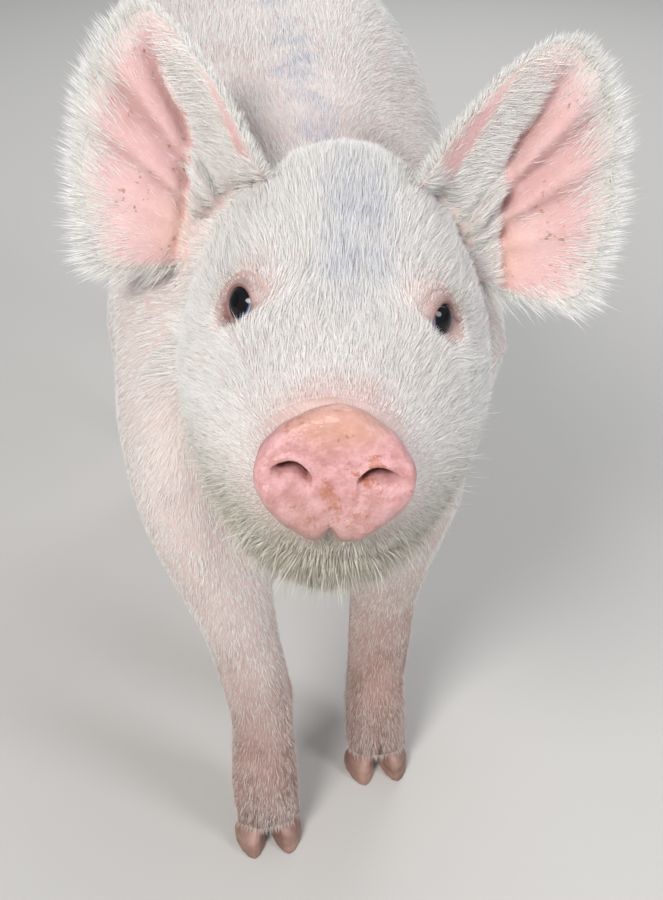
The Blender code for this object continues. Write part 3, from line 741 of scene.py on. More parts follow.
def markings(finish):
    """Where the skin and the coat are blue grey, stained, dusty or rosy: the same on both."""
    loose = wandering(finish, 0.030, 55.0)
    patchy = finish.noise(70.0, 3.0).step(0.40, 0.62)
    blue = finish.distance((0.003, 0.130, 0.064), (0.022, 0.078, 0.060), HEAD, loose).step(1.05, 0.10)
    for along in MARKS_ON_BACK:
        spot = finish.distance((-0.004, along, 0.425), (0.016, 0.034, 0.045), Matrix.Identity(4), loose)
        blue = blue.most(spot.step(1.05, 0.35) * 0.9)
    stretched = finish.own_place((0, 0, 0), (0.0035, 0.020, 0.020), HEAD)
    streaks = finish.noise(1.0, 3.0, stretched).step(0.40, 0.60)
    blue = blue * (patchy * 0.45 + 0.20 + streaks * 0.35)
    stain = finish.distance((0.0, 0.012, 0.024), (0.030, 0.008, 0.007), HEAD, loose).step(1.0, 0.2) * 0.28
    rosy = finish.distance((0.0, 0.022, 0.022), (0.034, 0.030, 0.022), HEAD, loose).step(1.1, 0.3)
    for _, side in SIDES:
        axes = eye_axes(side)
        corner = finish.distance((side * -0.004, -0.0100, -0.0105), (0.0050, 0.007, 0.0050), axes, loose)
        stain = stain.most(corner.step(1.1, 0.35) * 0.9)
        under = finish.distance((side * 0.004, -0.0080, -0.0220), (0.0110, 0.012, 0.0120), axes, loose)
        stain = stain.most(under.step(1.0, 0.3) * 0.35)
        brow = finish.distance((side * 0.006, -0.004, 0.008), (0.019, 0.019, 0.017), axes, loose)
        rosy = rosy.most(brow.step(1.1, 0.35))
    dust = finish.noise(14.0, 5.0).step(0.42, 0.80) * (finish.noise(48.0, 4.0) * 0.7 + 0.25)
    return blue, stain, dust, rosy


def disc_tone(finish, mottle):
    """The nose disc: mottled pink, warmer at its top, with smears of dirt."""
    warm = finish.distance((0.0, 0.004, 0.020), (0.022, 0.020, 0.013), HEAD, finish.place).step(1.15, 0.35)
    smears = finish.noise(95.0, 5.0, Roughness=0.8).step(0.53, 0.62)
    smears = smears * finish.noise(45.0, 2.0).step(0.42, 0.56)
    return finish.layers(
        (0.54, 0.27, 0.26),
        (mottle, (0.70, 0.40, 0.41)),
        (warm * 0.62, (0.66, 0.36, 0.23)),
        (smears * 0.75, (0.42, 0.13, 0.045)),
    )


def skin_finish():
    finish = Finish(
        "pink_skin",
        Subsurface_Weight=0.14,
        Subsurface_Scale=0.003,
        Subsurface_Radius=(1.0, 0.42, 0.30),
        Specular_IOR_Level=0.42,
    )
    blue, stain, dust, rosy = markings(finish)
    names = ("hollow", "nose", "recess_shade", "legs", "lids", "ochre_and_shade")
    hollow, nose, recess_shade, legs, lids, ochre_and_shade = (finish.attribute(name) for name in names)
    blotches = finish.noise(26.0, 4.0)
    fine = finish.noise(240.0, 3.0)
    bare = finish.mix(blotches.step(0.40, 0.66), (0.70, 0.44, 0.43), (0.77, 0.54, 0.53))
    for _, side in SIDES:
        low = finish.distance((-0.022, -0.004, -0.018), (0.020, 0.024, 0.024), ear_axes(side))
        bare = finish.mix(low.step(1.1, 0.2) * 0.50, bare, (0.80, 0.53, 0.42))
    mottle = finish.noise(170.0, 4.0, Roughness=0.7).step(0.36, 0.64)
    dirt = finish.noise(55.0, 4.0).step(0.40, 0.66)
    # painted shade: near-black in the cleft between each foot's claws
    cleft_shades = []
    for foot in FEET:
        cleft = finish.distance((foot.x, foot.y + CLAW_REACH[0] + 0.006, 0.0235), (0.0021, 0.011, 0.0095))
        cleft_shades.append((cleft.step(1.15, 0.5) * 0.85, (0.10, 0.05, 0.035)))
    specks = finish.noise(420.0, 2.0).step(0.63, 0.72) * finish.noise(60.0, 3.0).step(0.52, 0.62)
    ear_specks = finish.noise(300.0, 3.0).step(0.60, 0.68) * finish.noise(42.0, 3.0).step(0.50, 0.60)
    tone = finish.layers(
        (0.70, 0.57, 0.54),
        (blotches.step(0.38, 0.64), (0.78, 0.67, 0.63)),
        (hollow, bare),
        (nose, disc_tone(finish, mottle)),
        # painted shade, dark in the nostrils and in the grooves of the ears
        (recess_shade, (0.16, 0.055, 0.05)),
        # the legs' browner skin: partly their own dirt, partly painted shade
        (legs, finish.mix(dirt, (0.44, 0.28, 0.25), (0.33, 0.20, 0.165))),
        *cleft_shades,
        (rosy * 0.55, (0.60, 0.38, 0.36)),
        (lids, (0.25, 0.13, 0.12)),
        # olive under the chin: partly the skin's colour, partly painted shade
        (ochre_and_shade * 0.8, (0.27, 0.21, 0.15)),
        (blue * 0.75, (0.32, 0.36, 0.50)),
        ((stain + specks * nose * 0.75 + ear_specks * hollow * 0.8).most(dust * 0.16), (0.36, 0.17, 0.07)),
    )
    finish.feed("Base Color", finish.mix(fine * 0.25, tone, (0.55, 0.33, 0.29), "MULTIPLY"))
    finish.feed("Roughness", 0.58 - nose * (0.30 - mottle * 0.18) - lids * 0.12 + fine * 0.10)
    pores = finish.noise(900.0, 2.0) * 0.45 + finish.noise(190.0, 4.0) * (1.1 + nose * 1.2)
    finish.bump(pores, 0.60, 0.0009)
    return finish.material


def coat_finish():
    finish = Finish("coat", Roughness=0.48, Specular_IOR_Level=0.35)
    blue, stain, dust, rosy = markings(finish)
    strand, along, straw_and_shade = (finish.attribute(name) for name in ("strand", "along", "straw_and_shade"))
    height = finish.height()
    tone = finish.layers(
        (0.84, 0.83, 0.80),
        (strand, (0.94, 0.94, 0.93)),
        ((1 - along) * 0.22, (0.76, 0.66, 0.60)),
        (rosy * 0.38, (0.72, 0.56, 0.52)),
        # straw tone: the hair's own colour on the lashes and the ears, partly painted shade under the chin
        # and on the legs
        (straw_and_shade, (0.33, 0.28, 0.18)),
        # hair darker towards the floor: partly its own tone, partly painted shade on the lower legs
        (height.step(0.17, 0.07) * 0.55, (0.60, 0.46, 0.42)),
        (blue * 0.42, (0.46, 0.50, 0.64)),
        (dust * 0.14, (0.52, 0.45, 0.34)),
        (stain * 0.8, (0.45, 0.24, 0.09)),
    )
    finish.feed("Base Color", tone)
    return finish.material


# ------------ coat
DISC_BACK = 0.004  # how far back the hair's direction starts
ROOT_SINK = 0.0004  # of the roots of the hair under the skin
TIP_CLEAR = 0.0006  # of its tips over the skin
LOCKS = ((0.0042, 11), (0.0110, 29))  # size of the small and the broad locks, and the seed of each
TUFT_PATCH = 0.003  # of the map, for each tuft
MOST_TUFTS = 65000  # in one piece of the coat
EAR_SLICES = 90  # in which the rim of an ear is measured
EAR_MAP_START = (0.072, 0.036)  # the corner of an ear's map, across and along
EAR_MAP_SIZE = (0.115, 0.145)
HEAD_MAP = 0.25  # lengths that the maps of the head, the body and the legs cover
BODY_MAP = 0.75
LEG_MAP = 0.20
BODY_AXIS_UP = 0.31
FOOT_REACH = 0.032  # from the middle of a foot to all its skin
FACE_BACK = MM * np.array([6, 22, 45, 80, 120, 160])  # places back from the disc, and the hair's length there
FACE_LONG = (1.8, 3.0, 5.2, 7.4, 9.0, 10.5)
COAT = (  # length in millimetres, lift, width in millimetres, and hairs for each square millimetre
    (("foreleg", "hindleg", "forefoot", "hindfoot"), 5.5, 0.30, 0.17, 0.34),
    (("forefoot", "hindfoot"), -1.0, 0.50, 0.02, 0.50),
    (("tail",), 11.0, 0.35, 0.30, 0.40),
    (("ear_",), 6.5, 0.30, 0.22, 1.30),
)
HAIR_BY_EYE = {"reach": (1.2, 1.7, 2.6, 4.0), "long": (0.16, 0.26, 0.55, 1.0)}  # shares of the usual length
BARE_BY_EYE = {"reach": (1.12, 1.3, 1.9, 2.6), "thick": (0.0, 0.50, 0.75, 1.0)}

rng = np.random.default_rng(7)


class Hide:
    """The skin as arrays: its points, triangles and the fields that the coat grows by."""

    def __init__(self, mesh, own):
        self.places = points_of(mesh)
        self.normals = normals_of(mesh)
        self.edges = edges_of(mesh)
        self.triangles = triangles_of(mesh)
        self.own = own
        self.head = seen_from(HEAD, self.places)
        a, b, c = (self.places[self.triangles[:, corner]] for corner in range(3))
        self.face_normals = np.cross(b - a, c - a)
        self.areas = lengths(self.face_normals) / 2
        self.tree = BVHTree.FromPolygons(self.places.tolist(), self.triangles.tolist())

    def lifted(self, blade):
        """Blades of hair, brought over the skin where their tips would lie under it, as in a fold."""
        tips = blade[:, -1]
        found = [self.tree.find_nearest(tip) for tip in tips.tolist()]
        nearest = np.array([tuple(spot) for spot, _, _, _ in found])
        index = np.array([triangle for _, _, triangle, _ in found])
        outward = unit(self.normals[self.triangles[index]].mean(axis=1))
        height = np.sum((tips - nearest) * outward, axis=1)
        shift = np.where((height < TIP_CLEAR)[:, None], nearest + outward * TIP_CLEAR - tips, 0.0)
        return blade + shift[:, None, :] * up_blade(blade.shape[1])[None, :, None]

    def travel(self):
        """Distance over the skin from the nose disc."""
        start, end = self.edges.T
        spans = lengths(self.places[start] - self.places[end])
        links = [[] for _ in self.places]
        for first, last, length in zip(start.tolist(), end.tolist(), spans.tolist()):
            links[first].append((last, length))
            links[last].append((first, length))
        best = np.where(self.head[:, 1] < DISC_BACK, 0.0, np.inf).tolist()
        queue = [(0.0, index) for index, gone in enumerate(best) if gone == 0]
        while queue:
            gone, index = heapq.heappop(queue)
            if gone > best[index]:
                continue
            for other, length in links[index]:
                if gone + length < best[other] - 1e-7:
                    best[other] = gone + length
                    heapq.heappush(queue, (gone + length, other))
        return np.array(best)

    def slope(self, field):
        """The direction over the surface in which a field grows."""
        corners = self.places[self.triangles]
        normal = unit(self.face_normals)
        total = np.zeros((len(self.triangles), 3))
        for corner in range(3):
            opposite = corners[:, (corner + 2) % 3] - corners[:, (corner + 1) % 3]
            total += field[self.triangles[:, corner], None] * np.cross(normal, opposite)
        vertex = np.zeros_like(self.places)
        for corner in range(3):
            for axis in range(3):
                vertex[:, axis] += np.bincount(self.triangles[:, corner], total[:, axis], len(self.places))
        return unit(vertex)

    def flat(self, directions):
        """Directions, laid along the skin."""
        over = np.sum(directions * self.normals, axis=1, keepdims=True)
        return directions - over * self.normals

    def scatter(self, density):
        """Roots on the skin, as a triangle and three shares each, by a density for each point."""
        expected = self.areas * density[self.triangles].mean(axis=1)
        total = int(expected.sum())
        marks = (np.arange(total) + rng.random(total)) / total * expected.sum()
        chosen = np.minimum(np.searchsorted(np.cumsum(expected), marks), len(expected) - 1)
        rng.shuffle(chosen)
        first, second = rng.random(total), rng.random(total)
        over = first + second > 1
        first[over], second[over] = 1 - first[over], 1 - second[over]
        return chosen, np.stack((1 - first - second, first, second), axis=1)

    def at(self, field, roots):
        """A field's values at the roots, or the field itself where it is one number for all."""
        if np.isscalar(field):
            return field
        chosen, shares = roots
        corners = field[self.triangles[chosen]]
        if corners.ndim == 3:
            return np.einsum("nc,nca->na", shares, corners)
        return np.sum(shares * corners, axis=1)

    def all_along(self, direction):
        """One direction for every point."""
        return np.broadcast_to(direction, self.places.shape)


def up_blade(points):
    """Each point's share of the way up a blade, which has pairs of points and one at its tip."""
    return np.arange(points) // 2 / (points // 2)


def tufted(places, size, seed):
    """A random number for the lock of hair that each place belongs to, and three more."""
    turn = np.array(Matrix.Rotation(0.7, 3, Vector((1, 2, 3))))
    cell = np.floor(places @ turn / size).astype(np.int64)
    mixed = cell[:, 0] * 73856093 ^ cell[:, 1] * 19349663 ^ cell[:, 2] * 83492791 ^ seed
    table = np.random.default_rng(seed).random((4099, 4)) * 2 - 1
    return table[np.mod(mixed, 4099)]


def grow(hide, roots, flow, length, lift, width, pairs=2, frizz=0.16, curve=0.5):
    """Blades of hair, as points (blade, point, axis) in pairs and one at the tip. Also their roots."""
    place = hide.at(hide.places, roots)
    normal = unit(hide.at(hide.normals, roots))
    lie = hide.at(flow, roots)
    lie = unit(lie - np.sum(lie * normal, axis=1, keepdims=True) * normal)
    long = hide.at(length, roots) * (0.78 + 0.44 * rng.random(len(place)))
    lock, broad = (tufted(place, size, seed) for size, seed in LOCKS)
    aside = np.cross(normal, lie)
    wave = frizz * (0.55 * lock[:, :1] + 0.5 * broad[:, :1] + 0.55 * rng.standard_normal((len(place), 1)))
    lie = unit(lie + aside * wave)
    rise = hide.at(lift, roots) * (1 + 0.25 * lock[:, 1] + 0.22 * rng.standard_normal(len(place)))
    rise = np.clip(rise, 0.03, 1.5)
    across = unit(np.cross(lie, normal))
    roll = 0.75 * rng.standard_normal((len(place), 1))
    wide = hide.at(width, roots) * (0.75 + 0.5 * rng.random(len(place)))
    blade = np.empty((len(place), 2 * pairs + 1, 3))
    spot = place - normal * ROOT_SINK
    for level in range(pairs + 1):
        share = level / pairs
        bend = rise * (1 + curve - 2 * curve * share)
        ahead = lie * np.cos(bend)[:, None] + normal * np.sin(bend)[:, None]
        if level:
            spot = spot + ahead * (long / pairs)[:, None]
        edge = across * np.cos(roll) + np.cross(ahead, across) * np.sin(roll)
        half = wide[:, None] / 2 * (1 - 0.30 * share)
        if level < pairs:
            blade[:, 2 * level] = spot - edge * half
            blade[:, 2 * level + 1] = spot + edge * half
        else:
            blade[:, 2 * level] = spot
    return blade, place


def unwrap_round(places, axes, length):
    """A map of the skin as a tube: round the axis, and along it."""
    own = seen_from(axes, places)
    round_it = (np.arctan2(own[:, 0], own[:, 2]) / (2 * math.pi)) % 1.0
    return np.stack((round_it, np.clip(own[:, 1] / length, 0, 1)), axis=1)


def coat_piece(name, blade, chart, straw_and_shade, material):
    """One mesh of tufts, each a patch of the map at its root's place on the unwrapped skin."""
    count, height = blade.shape[:2]
    faces = []
    for low in range(0, height - 3, 2):
        faces += [(low, low + 1, low + 3), (low, low + 3, low + 2)]
    faces.append((height - 3, height - 2, height - 1))
    corner = (np.arange(count)[:, None, None] * height + np.array(faces)).reshape(-1)
    mesh = bpy.data.meshes.new(name)
    mesh.vertices.add(count * height)
    mesh.loops.add(len(corner))
    mesh.polygons.add(len(corner) // 3)
    mesh.vertices.foreach_set("co", blade.astype(np.float32).ravel())
    mesh.loops.foreach_set("vertex_index", corner.astype(np.int32))
    mesh.polygons.foreach_set("loop_start", np.arange(0, len(corner), 3, dtype=np.int32))
    mesh.update(calc_edges=True)
    rise = up_blade(height)
    sides = np.where(np.arange(height) % 2 == 0, 0.0, 1.0)
    sides[-1] = 0.5
    patch = np.stack((sides, rise), axis=1) * TUFT_PATCH
    uv = np.clip(chart, 0, 1)[:, None, :] * (1 - TUFT_PATCH) + patch[None]
    layer = mesh.uv_layers.new(name="OFBake")
    layer.data.foreach_set("uv", uv.reshape(-1, 2)[corner].astype(np.float32).ravel())
    strand = np.repeat(rng.random(count), height)
    write(mesh, {"strand": strand, "along": np.tile(rise, count), "straw_and_shade": np.repeat(straw_and_shade, height)})
    mesh.materials.append(material)
    mesh.shade_smooth()
    piece = new_object(name, mesh)
    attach(piece, "root")


def eye_reach(hide):
    """How far each point of the skin is outside the rim of the nearer eye's lids, and its height there."""
    found = [lid_share(eye_axes(side), side, hide.places) for _, side in SIDES]
    share = np.minimum(found[0][0], found[1][0])
    far = np.minimum(found[0][1], found[1][1])
    rise = np.where(found[0][0] < found[1][0], found[0][2], found[1][2])
    return np.where(far < 0.030, share, AWAY), rise


class EarMap:
    """Where each point of the skin lies on an ear: own axes, share of the way to the rim, front or back."""

    def __init__(self, hide, side_name, side):
        self.axes = ear_axes(side)
        self.across, self.tipward, self.normal = np.array(self.axes)[:3, :3].T
        self.own = seen_from(self.axes, hide.places)
        self.belongs = within(hide.own, "ear_" + side_name)
        facing = hide.normals @ self.normal
        angle = np.arctan2(self.own[:, 1], self.own[:, 0])
        reach = np.hypot(self.own[:, 0], self.own[:, 1])
        turn = (angle / (2 * math.pi)) % 1.0 * EAR_SLICES
        edge = np.zeros(EAR_SLICES)
        surely = self.belongs > 0.6
        np.maximum.at(edge, np.mod(turn.astype(int), EAR_SLICES)[surely], reach[surely])
        edge = np.maximum(edge, 0.012)
        low = np.floor(turn - 0.5).astype(int)
        share = turn - 0.5 - low
        limit = edge[np.mod(low, EAR_SLICES)] * (1 - share) + edge[np.mod(low + 1, EAR_SLICES)] * share
        self.share = reach / limit
        flat = self.own * np.array([1, 1, 0])
        self.outward = turned_from(self.axes, unit(flat))
        self.front = ramp(0.0, 0.35, facing) * ramp(0.55, 0.85, self.belongs)
        across, along = self.own[:, 0], self.own[:, 1]
        self.band = ear_band(across, along)
        rise = ramp(-0.030, -0.022, along + 0.25 * across)
        self.hollow = self.front * ramp(0.97, 0.84, self.share) * (1 - self.band) * rise


def coat_lie(hide, body, leg, under):
    """The direction of the hair: away from the nose, down the flanks and the legs, and round the eyes."""
    lie = hide.slope(spread(hide.travel(), hide.edges, 10))
    flank = 1 - np.abs(hide.normals[:, 2])
    lie *= 1 - 0.5 * body[:, None]
    lie += body[:, None] * np.array([0, 0.6, -1.5]) * (0.15 + 0.85 * flank[:, None])
    lie[:, 2] -= 0.9 * leg + 0.5 * under
    for _, side in SIDES:
        axes = eye_axes(side)
        out = hide.places - np.array(axes.translation)
        ahead = np.array(axes)[:3, 1]
        near = hump(from_eye(hide.places, side), 0, 0.019)
        lie += 1.9 * near[:, None] * unit(out - (out @ ahead)[:, None] * ahead)
    return spread(unit(hide.flat(lie)), hide.edges, 3)


def brow_of(hide):
    """The wrinkled brow over each eye, where the hair is thin."""
    brow = 0.0
    for _, side in SIDES:
        across, back, up = seen_from(eye_axes(side), hide.places).T
        brow = brow + hump(across, side * 0.011, 0.011) * hump(up, 0.0135, 0.0070) * (back < 0.016)
    return brow


def coat_fields(hide, ears):
    """Lie, length, lift, width and density of the coat over the whole skin."""
    own, (across, back, up) = hide.own, hide.head.T
    face = within(own, "head", "lower_jaw", "snout")
    behind = face * ramp(0.140, 0.160, back) * ramp(0.005, -0.030, up)
    face = face - behind
    leg = within(own, "foreleg", "hindleg", "forefoot", "hindfoot")
    body = np.clip(within(own, "trunk", "neck") + behind, 0, 1)
    under = ramp(-0.015, -0.050, up) * face
    fore = ramp(0.02, -0.10, hide.places[:, 1])
    chest = ramp(0.31, 0.24, hide.places[:, 2]) * fore
    jowl = face * ramp(0.040, 0.060, np.abs(across)) * ramp(0.010, -0.020, up)
    share = eye_reach(hide)[0]
    bare = ramp(0.0, 0.004, back - disc_edge(up)) * (0.6 + 0.4 * ramp(0.010, 0.030, back))

    long = np.interp(back, FACE_BACK, FACE_LONG) + 2.5 * jowl
    long += under * np.interp(back, [0.02, 0.06, 0.16], [8.0, 6.5, 3.0])
    long = long * face + (11.5 - 4.5 * fore - 1.2 * chest) * body
    lift = 0.45 * ramp(3.2, 1.3, share) + 0.36 * face + (0.25 - 0.06 * fore) * body + 0.30 * under
    wide = 0.188 * face + (0.26 - 0.045 * fore) * body + 0.05 * under
    thick = 2.3 * face * bare + (0.525 + 0.39 * fore - 0.13 * chest) * body
    for starts, *here in COAT:
        part = within(own, *starts)
        long, lift, wide, thick = (old + part * new for old, new in zip((long, lift, wide, thick), here))
    long *= np.interp(share, HAIR_BY_EYE["reach"], HAIR_BY_EYE["long"])
    thick *= np.interp(share, BARE_BY_EYE["reach"], BARE_BY_EYE["thick"]) * (1 - 0.62 * brow_of(hide))
    thick *= 1 - 0.60 * ramp(0.034, 0.022, back) * face * ramp(0.0, 0.008, up)
    for ear_map in ears:
        thick *= 1 - 0.97 * ear_map.front * (1 - ear_map.band)
    # the lower jaw's olive tone for skin and hair: partly its own colour, partly painted shade under the chin
    ochre_and_shade = ramp(0.004, -0.040, up) * face * ramp(0.16, 0.11, back)
    lie = coat_lie(hide, body, leg, under)
    fields = {"long": long * MM, "lift": lift, "wide": wide * MM, "thick": thick / MM**2, "ochre_and_shade": ochre_and_shade}
    return {"lie": lie, "share": share, "under": under, "face": face, "leg": leg, **fields}


def in_pieces(name, blade, place, chart, straw_and_shade, material):
    """The same coat in as many pieces as keep each one light."""
    number = -(-len(blade) // MOST_TUFTS)
    order = np.argsort(place[:, 1], kind="stable")
    for index, part in enumerate(np.array_split(order, number)):
        label = name if number == 1 else "%s_%d" % (name, index + 1)
        coat_piece(label, blade[part], chart(place[part]), straw_and_shade[part], material)


def leg_chart(places):
    """Four columns of the map, one for each leg."""
    column = (places[:, 0] > 0).astype(int) + 2 * (places[:, 1] > 0)
    centres = []
    for leg in LEGS:
        for side_name in ("right", "left"):
            centres.append(middle(leg.replace("leg", "foot") + "_" + side_name))
    centre = np.array([[place.x, place.y] for place in centres])[column]
    turn = np.arctan2(places[:, 0] - centre[:, 0], places[:, 1] - centre[:, 1]) / (2 * math.pi) % 1.0
    return np.stack(((column + turn) / 4, np.clip(places[:, 2] / LEG_MAP, 0, 1)), axis=1)


def grown_coat(skin, own, material):
    """All hair of the pig."""
    hide = Hide(skin.data, own)
    ears = [EarMap(hide, side_name, side) for side_name, side in SIDES]
    fields = coat_fields(hide, ears)
    amount = 1.0
    body_axes = Matrix.Translation((0, cad_box[0][1], BODY_AXIS_UP))
    roots = hide.scatter(fields["thick"] * amount)
    blade, place = grow(hide, roots, fields["lie"], fields["long"], fields["lift"], fields["wide"])
    blade = hide.lifted(blade)
    on_face = hide.at(fields["face"], roots) > 0.5
    on_leg = hide.at(fields["leg"], roots) > 0.5
    on_ear = hide.at(within(own, "ear_"), roots) > 0.5
    # straw tone of the hair under the chin and on the legs: partly its own colour, partly painted shade
    straw_and_shade = 0.04 + hide.at(fields["ochre_and_shade"], roots) * (0.35 + 0.60 * rng.random(len(place)))
    straw_and_shade += 0.30 * hide.at(fields["leg"], roots)
    fringe, fringe_place = coronets(hide, amount)
    blade, place = np.concatenate([blade, fringe]), np.concatenate([place, fringe_place])
    straw_and_shade = np.concatenate([straw_and_shade, 0.20 + 0.25 * rng.random(len(fringe))])
    on_face, on_ear = (np.pad(chosen, (0, len(fringe))) for chosen in (on_face, on_ear))
    on_leg = np.pad(on_leg, (0, len(fringe)), constant_values=True)
    groups = (
        ("coat_face", on_face, lambda part: unwrap_round(part, HEAD, HEAD_MAP)),
        ("coat_legs", on_leg & ~on_face, leg_chart),
        ("coat_body", ~(on_face | on_leg | on_ear), lambda part: unwrap_round(part, body_axes, BODY_MAP)),
    )
    for name, chosen, chart in groups:
        in_pieces(name, blade[chosen], place[chosen], chart, straw_and_shade[chosen], material)
    for (side_name, side), ear_map in zip(SIDES, ears):
        chosen = on_ear & (place[:, 0] * side > head_middle_x(place) * side)
        hair = [(blade[chosen], place[chosen]), *ear_hair(hide, ear_map, amount)]
        ear_pieces(side_name, ear_map, hair, material)
    bristles(hide, fields, material)
    return ears, fields


def head_middle_x(places):
    """The head's own middle plane, as the X it has at each place."""
    head = seen_from(HEAD, places)
    return places[:, 0] - head[:, 0]


def ear_chart(ear_map, places, front):
    """The back of the ear on one half of the map, its front on the other."""
    own = seen_from(ear_map.axes, places)[:, :2]
    across, along = np.clip((own + EAR_MAP_START) / EAR_MAP_SIZE, 0, (0.99, 1)).T
    return np.stack((0.5 * (across + front), along), axis=1)


def ear_hair(hide, ear_map, amount):
    """The fringe round the ear, the hair inside its rim, the hairy band and a few hairs in the hollow."""
    along = ear_map.own[:, 1]
    low = ramp(0.030, -0.020, along)
    lateral = ramp(0.010, -0.030, ear_map.own[:, 0])
    outward = ear_map.outward + 0.35 * ear_map.tipward * (1 - low)[:, None]
    made = []

    rim = hump(ear_map.share, 1.0, 0.055) * ramp(0.6, 0.9, ear_map.belongs)
    long = (5.5 + 6.0 * lateral + 4.5 * low * lateral) * MM
    kept = hide.normals
    hide.normals = hide.all_along(ear_map.normal)
    roots = hide.scatter(rim * 2.0 / MM**2 * amount)
    fringe = grow(hide, roots, outward, long, lift=0.10, width=0.23 * MM, pairs=3, frizz=0.20, curve=-0.6)
    made.append(jittered(*fringe, ear_map.normal, amount=0.32))
    hide.normals = kept

    inner = ramp(0.62 + 0.16 * (1 - lateral), 1.0, ear_map.share) * ear_map.front
    roots = hide.scatter(inner * ramp(0.75, 0.9, ear_map.belongs) * 1.7 / MM**2 * amount)
    long = (4.5 + 4.0 * lateral) * MM
    made.append(grow(hide, roots, outward, long, lift=0.24, width=0.20 * MM, frizz=0.2))

    lean = 0.50 + 1.3 * ramp(0.034, 0.004, along)
    aside = lean[:, None] * ear_map.tipward - ear_map.across
    roots = hide.scatter(ear_map.front * ear_map.band * 1.7 / MM**2 * amount)
    blade, place = grow(hide, roots, aside, length=7.0 * MM, lift=0.36, width=0.22 * MM)
    made.append((hide.lifted(blade), place))

    sparse = ear_map.front * (0.05 + 0.10 * ramp(0.5, 0.9, ear_map.share))
    roots = hide.scatter(sparse / MM**2 * amount)
    made.append(grow(hide, roots, aside, length=3.2 * MM, lift=0.25, width=0.16 * MM))
    return made


def coronets(hide, amount):
    """The fringe that hangs from each foot over the top of its claws, parted at the cleft."""
    height = np.ones(len(hide.places))
    parted = np.zeros(len(hide.places))
    for foot in FEET:
        away = hide.places[:, :2] - np.array(foot.xy)
        near = lengths(away) < FOOT_REACH
        height = np.where(near, over_horn(hide.places, foot), height)
        parted += near * hump(away[:, 0], 0, 0.0022) * (away[:, 1] < -0.006)
    band = window(height, -0.0045, -0.0015, 0.0030, 0.0085) * (1 - 0.8 * parted)
    band *= ramp(-0.65, -0.25, hide.normals[:, 2])
    kept = hide.normals
    hide.normals = unit(kept * np.array([1, 1, 0]))
    roots = hide.scatter(band * 2.4 / MM**2 * amount)
    down = hide.all_along((0.0, 0.0, -1.0))
    made = grow(hide, roots, down, length=6.4 * MM, lift=0.36, width=0.17 * MM)
    hide.normals = kept
    return made


def jittered(blade, place, axis, amount):
    """Blades fanned out of the plane of the ear, turned about their roots."""
    reach = lengths(blade - place[:, None, :])
    fan = amount * rng.standard_normal((len(place), 1))
    return blade + axis * (reach * fan)[:, :, None], place


def ear_pieces(side_name, ear_map, hair, material):
    """Two-pair blades go in one piece and the longer ones of the fringe in another."""
    for name, points in (("coat_ear_", 5), ("coat_fringe_", 7)):
        chosen = [index for index, (blade, _) in enumerate(hair) if blade.shape[1] == points]
        blade = np.concatenate([hair[index][0] for index in chosen])
        place = np.concatenate([hair[index][1] for index in chosen])
        front = np.concatenate([np.full(len(hair[index][1]), float(index > 0)) for index in chosen])
        straw_and_shade = 0.05 + 0.12 * rng.random(len(place))
        coat_piece(name + side_name, blade, ear_chart(ear_map, place, front), straw_and_shade, material)


def bristles(hide, fields, material):
    """Long hairs at the chin, whiskers on the muzzle, and the lashes."""
    across, back, up = hide.head.T
    share, rise = eye_reach(hide)
    chin = fields["under"] * window(back, 0.012, 0.022, 0.06, 0.17)
    cheek = fields["face"] * window(back, 0.02, 0.05, 0.10, 0.15) * ramp(0.030, 0.0, up) * (share > 3)
    down = fields["lie"] + 0.5 * hide.normals - np.array([0, 0, 0.7])
    middles = [np.array(eye_axes(side).translation) for side in (1, -1)]
    out = hide.places - np.where((across > 0)[:, None], *middles)
    lashes = hump(share, 1.13, 0.045)
    upper, lower = ramp(0.10, 0.40, rise), ramp(-0.1, -0.4, rise)
    rows = (  # where, hairs for each square millimetre, direction, length, lift, width, frizz, curve, straw
        # the chin's long hairs: a straw tone that is partly painted shade
        (chin, 0.085, down, 19, 0.60, 0.26, 0.16, 0.5, 0.55),
        (cheek, 0.012, fields["lie"], 17, 0.65, 0.20, 0.16, 0.5, 0.30),
        (lashes * upper, 2.4, out, 8.5, 0.95, 0.17, 0.25, -0.45, 0.85),
        (lashes * lower, 1.2, out, 3.5, 0.90, 0.17, 0.25, -0.45, 0.85),
    )
    blades, places, straw_and_shade_lists = [], [], []
    for where, density, flow, long, lift, wide, frizz, curve, straw_and_shade in rows:
        roots = hide.scatter(where * density / MM**2)
        blade, place = grow(hide, roots, flow, long * MM, lift, wide * MM, 3, frizz, curve)
        blades.append(blade)
        places.append(place)
        straw_and_shade_lists.append(np.full(len(place), straw_and_shade))
    place = np.concatenate(places)
    chart = unwrap_round(place, HEAD, HEAD_MAP)
    coat_piece("coat_bristles", np.concatenate(blades), chart, np.concatenate(straw_and_shade_lists), material)


# ------------ eyes
GAZE = (0.10, 0.13)  # beyond the middle of the opening, outwards and up, in radians
CORNEA_RISE = 0.035  # as a share of the ball
CORNEA_TURN = 0.55  # how far round the ball it reaches, in radians


def eye_finish():
    finish = Finish("eye", Roughness=0.12, Coat_Weight=0.22, Coat_Roughness=0.02, Specular_IOR_Level=0.12)
    turn = finish.attribute("turn")
    iris = finish.mix(finish.noise(300.0, 2.0), (0.004, 0.004, 0.006), (0.012, 0.010, 0.011))
    tone = finish.layers(
        (0.002, 0.002, 0.003),
        (turn.step(0.30, 0.36), iris),
        (turn.step(0.72, 0.77), (0.09, 0.13, 0.24)),
        (turn.step(0.77, 0.84), (0.48, 0.58, 0.74)),
    )
    finish.feed("Base Color", tone)
    return finish.material


